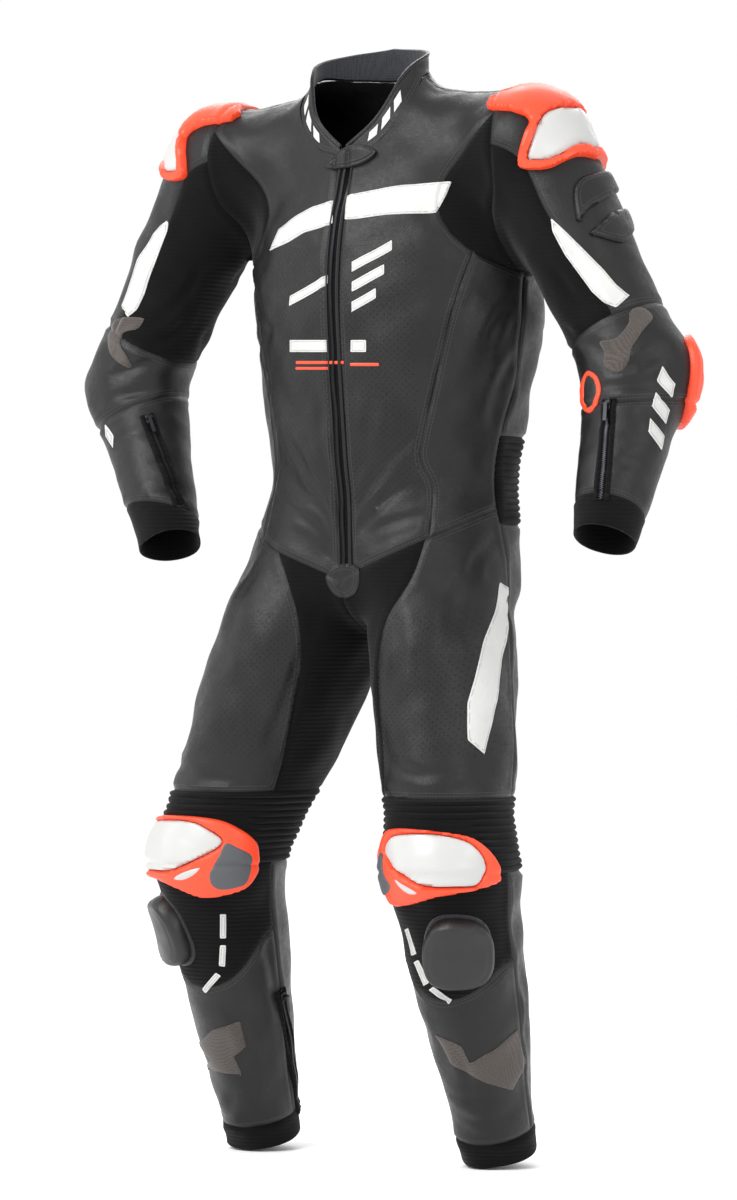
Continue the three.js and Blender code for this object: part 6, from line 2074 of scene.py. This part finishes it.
# The pull tabs keep the solids that turn on their pins, in the sliders' metal.
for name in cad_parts:
    if "_pull_" in name:
        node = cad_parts[name]
        node.data.materials.clear()
        node.data.materials.append(finishes["black coated zinc"])


# %% [markdown]
# ## Camera, light and floor
# The photograph is a cut-out on white under soft lamps, so black leather shows its folds as broad pale
# sheens. A sun would give hard spots. Four area lamps and a white world give the sheens and keep the
# shadows open.

# %%
camera = bpy.data.cameras.new("camera")
SENSOR = 36
camera.sensor_width = SENSOR
camera.lens = SENSOR * CAMERA_FAR / (PHOTO_HIGH * MM_PER_PIXEL)
camera.clip_end = 50
camera_object = bpy.data.objects.new("camera", camera)
camera_object.location = camera_place * MM
camera_object.rotation_euler = Vector(VIEW_AHEAD).to_track_quat("-Z", "Y").to_euler()
bpy.context.collection.objects.link(camera_object)
bpy.context.scene.camera = camera_object
print("lens", round(camera.lens), "mm")

FLOOR_LEVEL, FLOOR_HALF = -1.2695, 30.0
floor_mesh = bpy.data.meshes.new("floor")
corners = [(x * FLOOR_HALF, y * FLOOR_HALF, FLOOR_LEVEL) for x, y in ((-1, -1), (1, -1), (1, 1), (-1, 1))]
floor_mesh.from_pydata(corners, [], [(0, 1, 2, 3)])
finish("pale floor", "#ffffff", 1.0, Specular_IOR_Level=0.0)
floor_mesh.materials.append(finishes["pale floor"])
floor = bpy.data.objects.new("floor", floor_mesh)
bpy.context.collection.objects.link(floor)

world = bpy.data.worlds.new("studio")
bpy.context.scene.world = world
world.use_nodes = True
world.node_tree.nodes["Background"].inputs["Color"].default_value = (1, 1, 1, 1)
world.node_tree.nodes["Background"].inputs["Strength"].default_value = 1.0

# azimuth and height in degrees, distance and size in metres, power in watts
LAMPS = [
    ("key", -14, 38, 3.4, 1.6, 84),
    ("fill", 70, 20, 3.6, 1.6, 26),
    ("back", 205, 42, 3.4, 2.4, 60),
    ("left", -66, 14, 3.2, 1.4, 10),
]
for name, azimuth, height, far, size, power in LAMPS:
    light = bpy.data.lights.new(name, "AREA")
    light.size = size
    light.energy = power
    lamp = bpy.data.objects.new(name, light)
    a, h = math.radians(azimuth), math.radians(height)
    away = Vector((math.sin(a) * math.cos(h), -math.cos(a) * math.cos(h), math.sin(h)))
    lamp.location = away * far + Vector(LOOK_AT * MM)
    lamp.rotation_euler = (-away).to_track_quat("-Z", "Y").to_euler()
    bpy.context.collection.objects.link(lamp)
bpy.context.scene.view_settings.view_transform = "Standard"
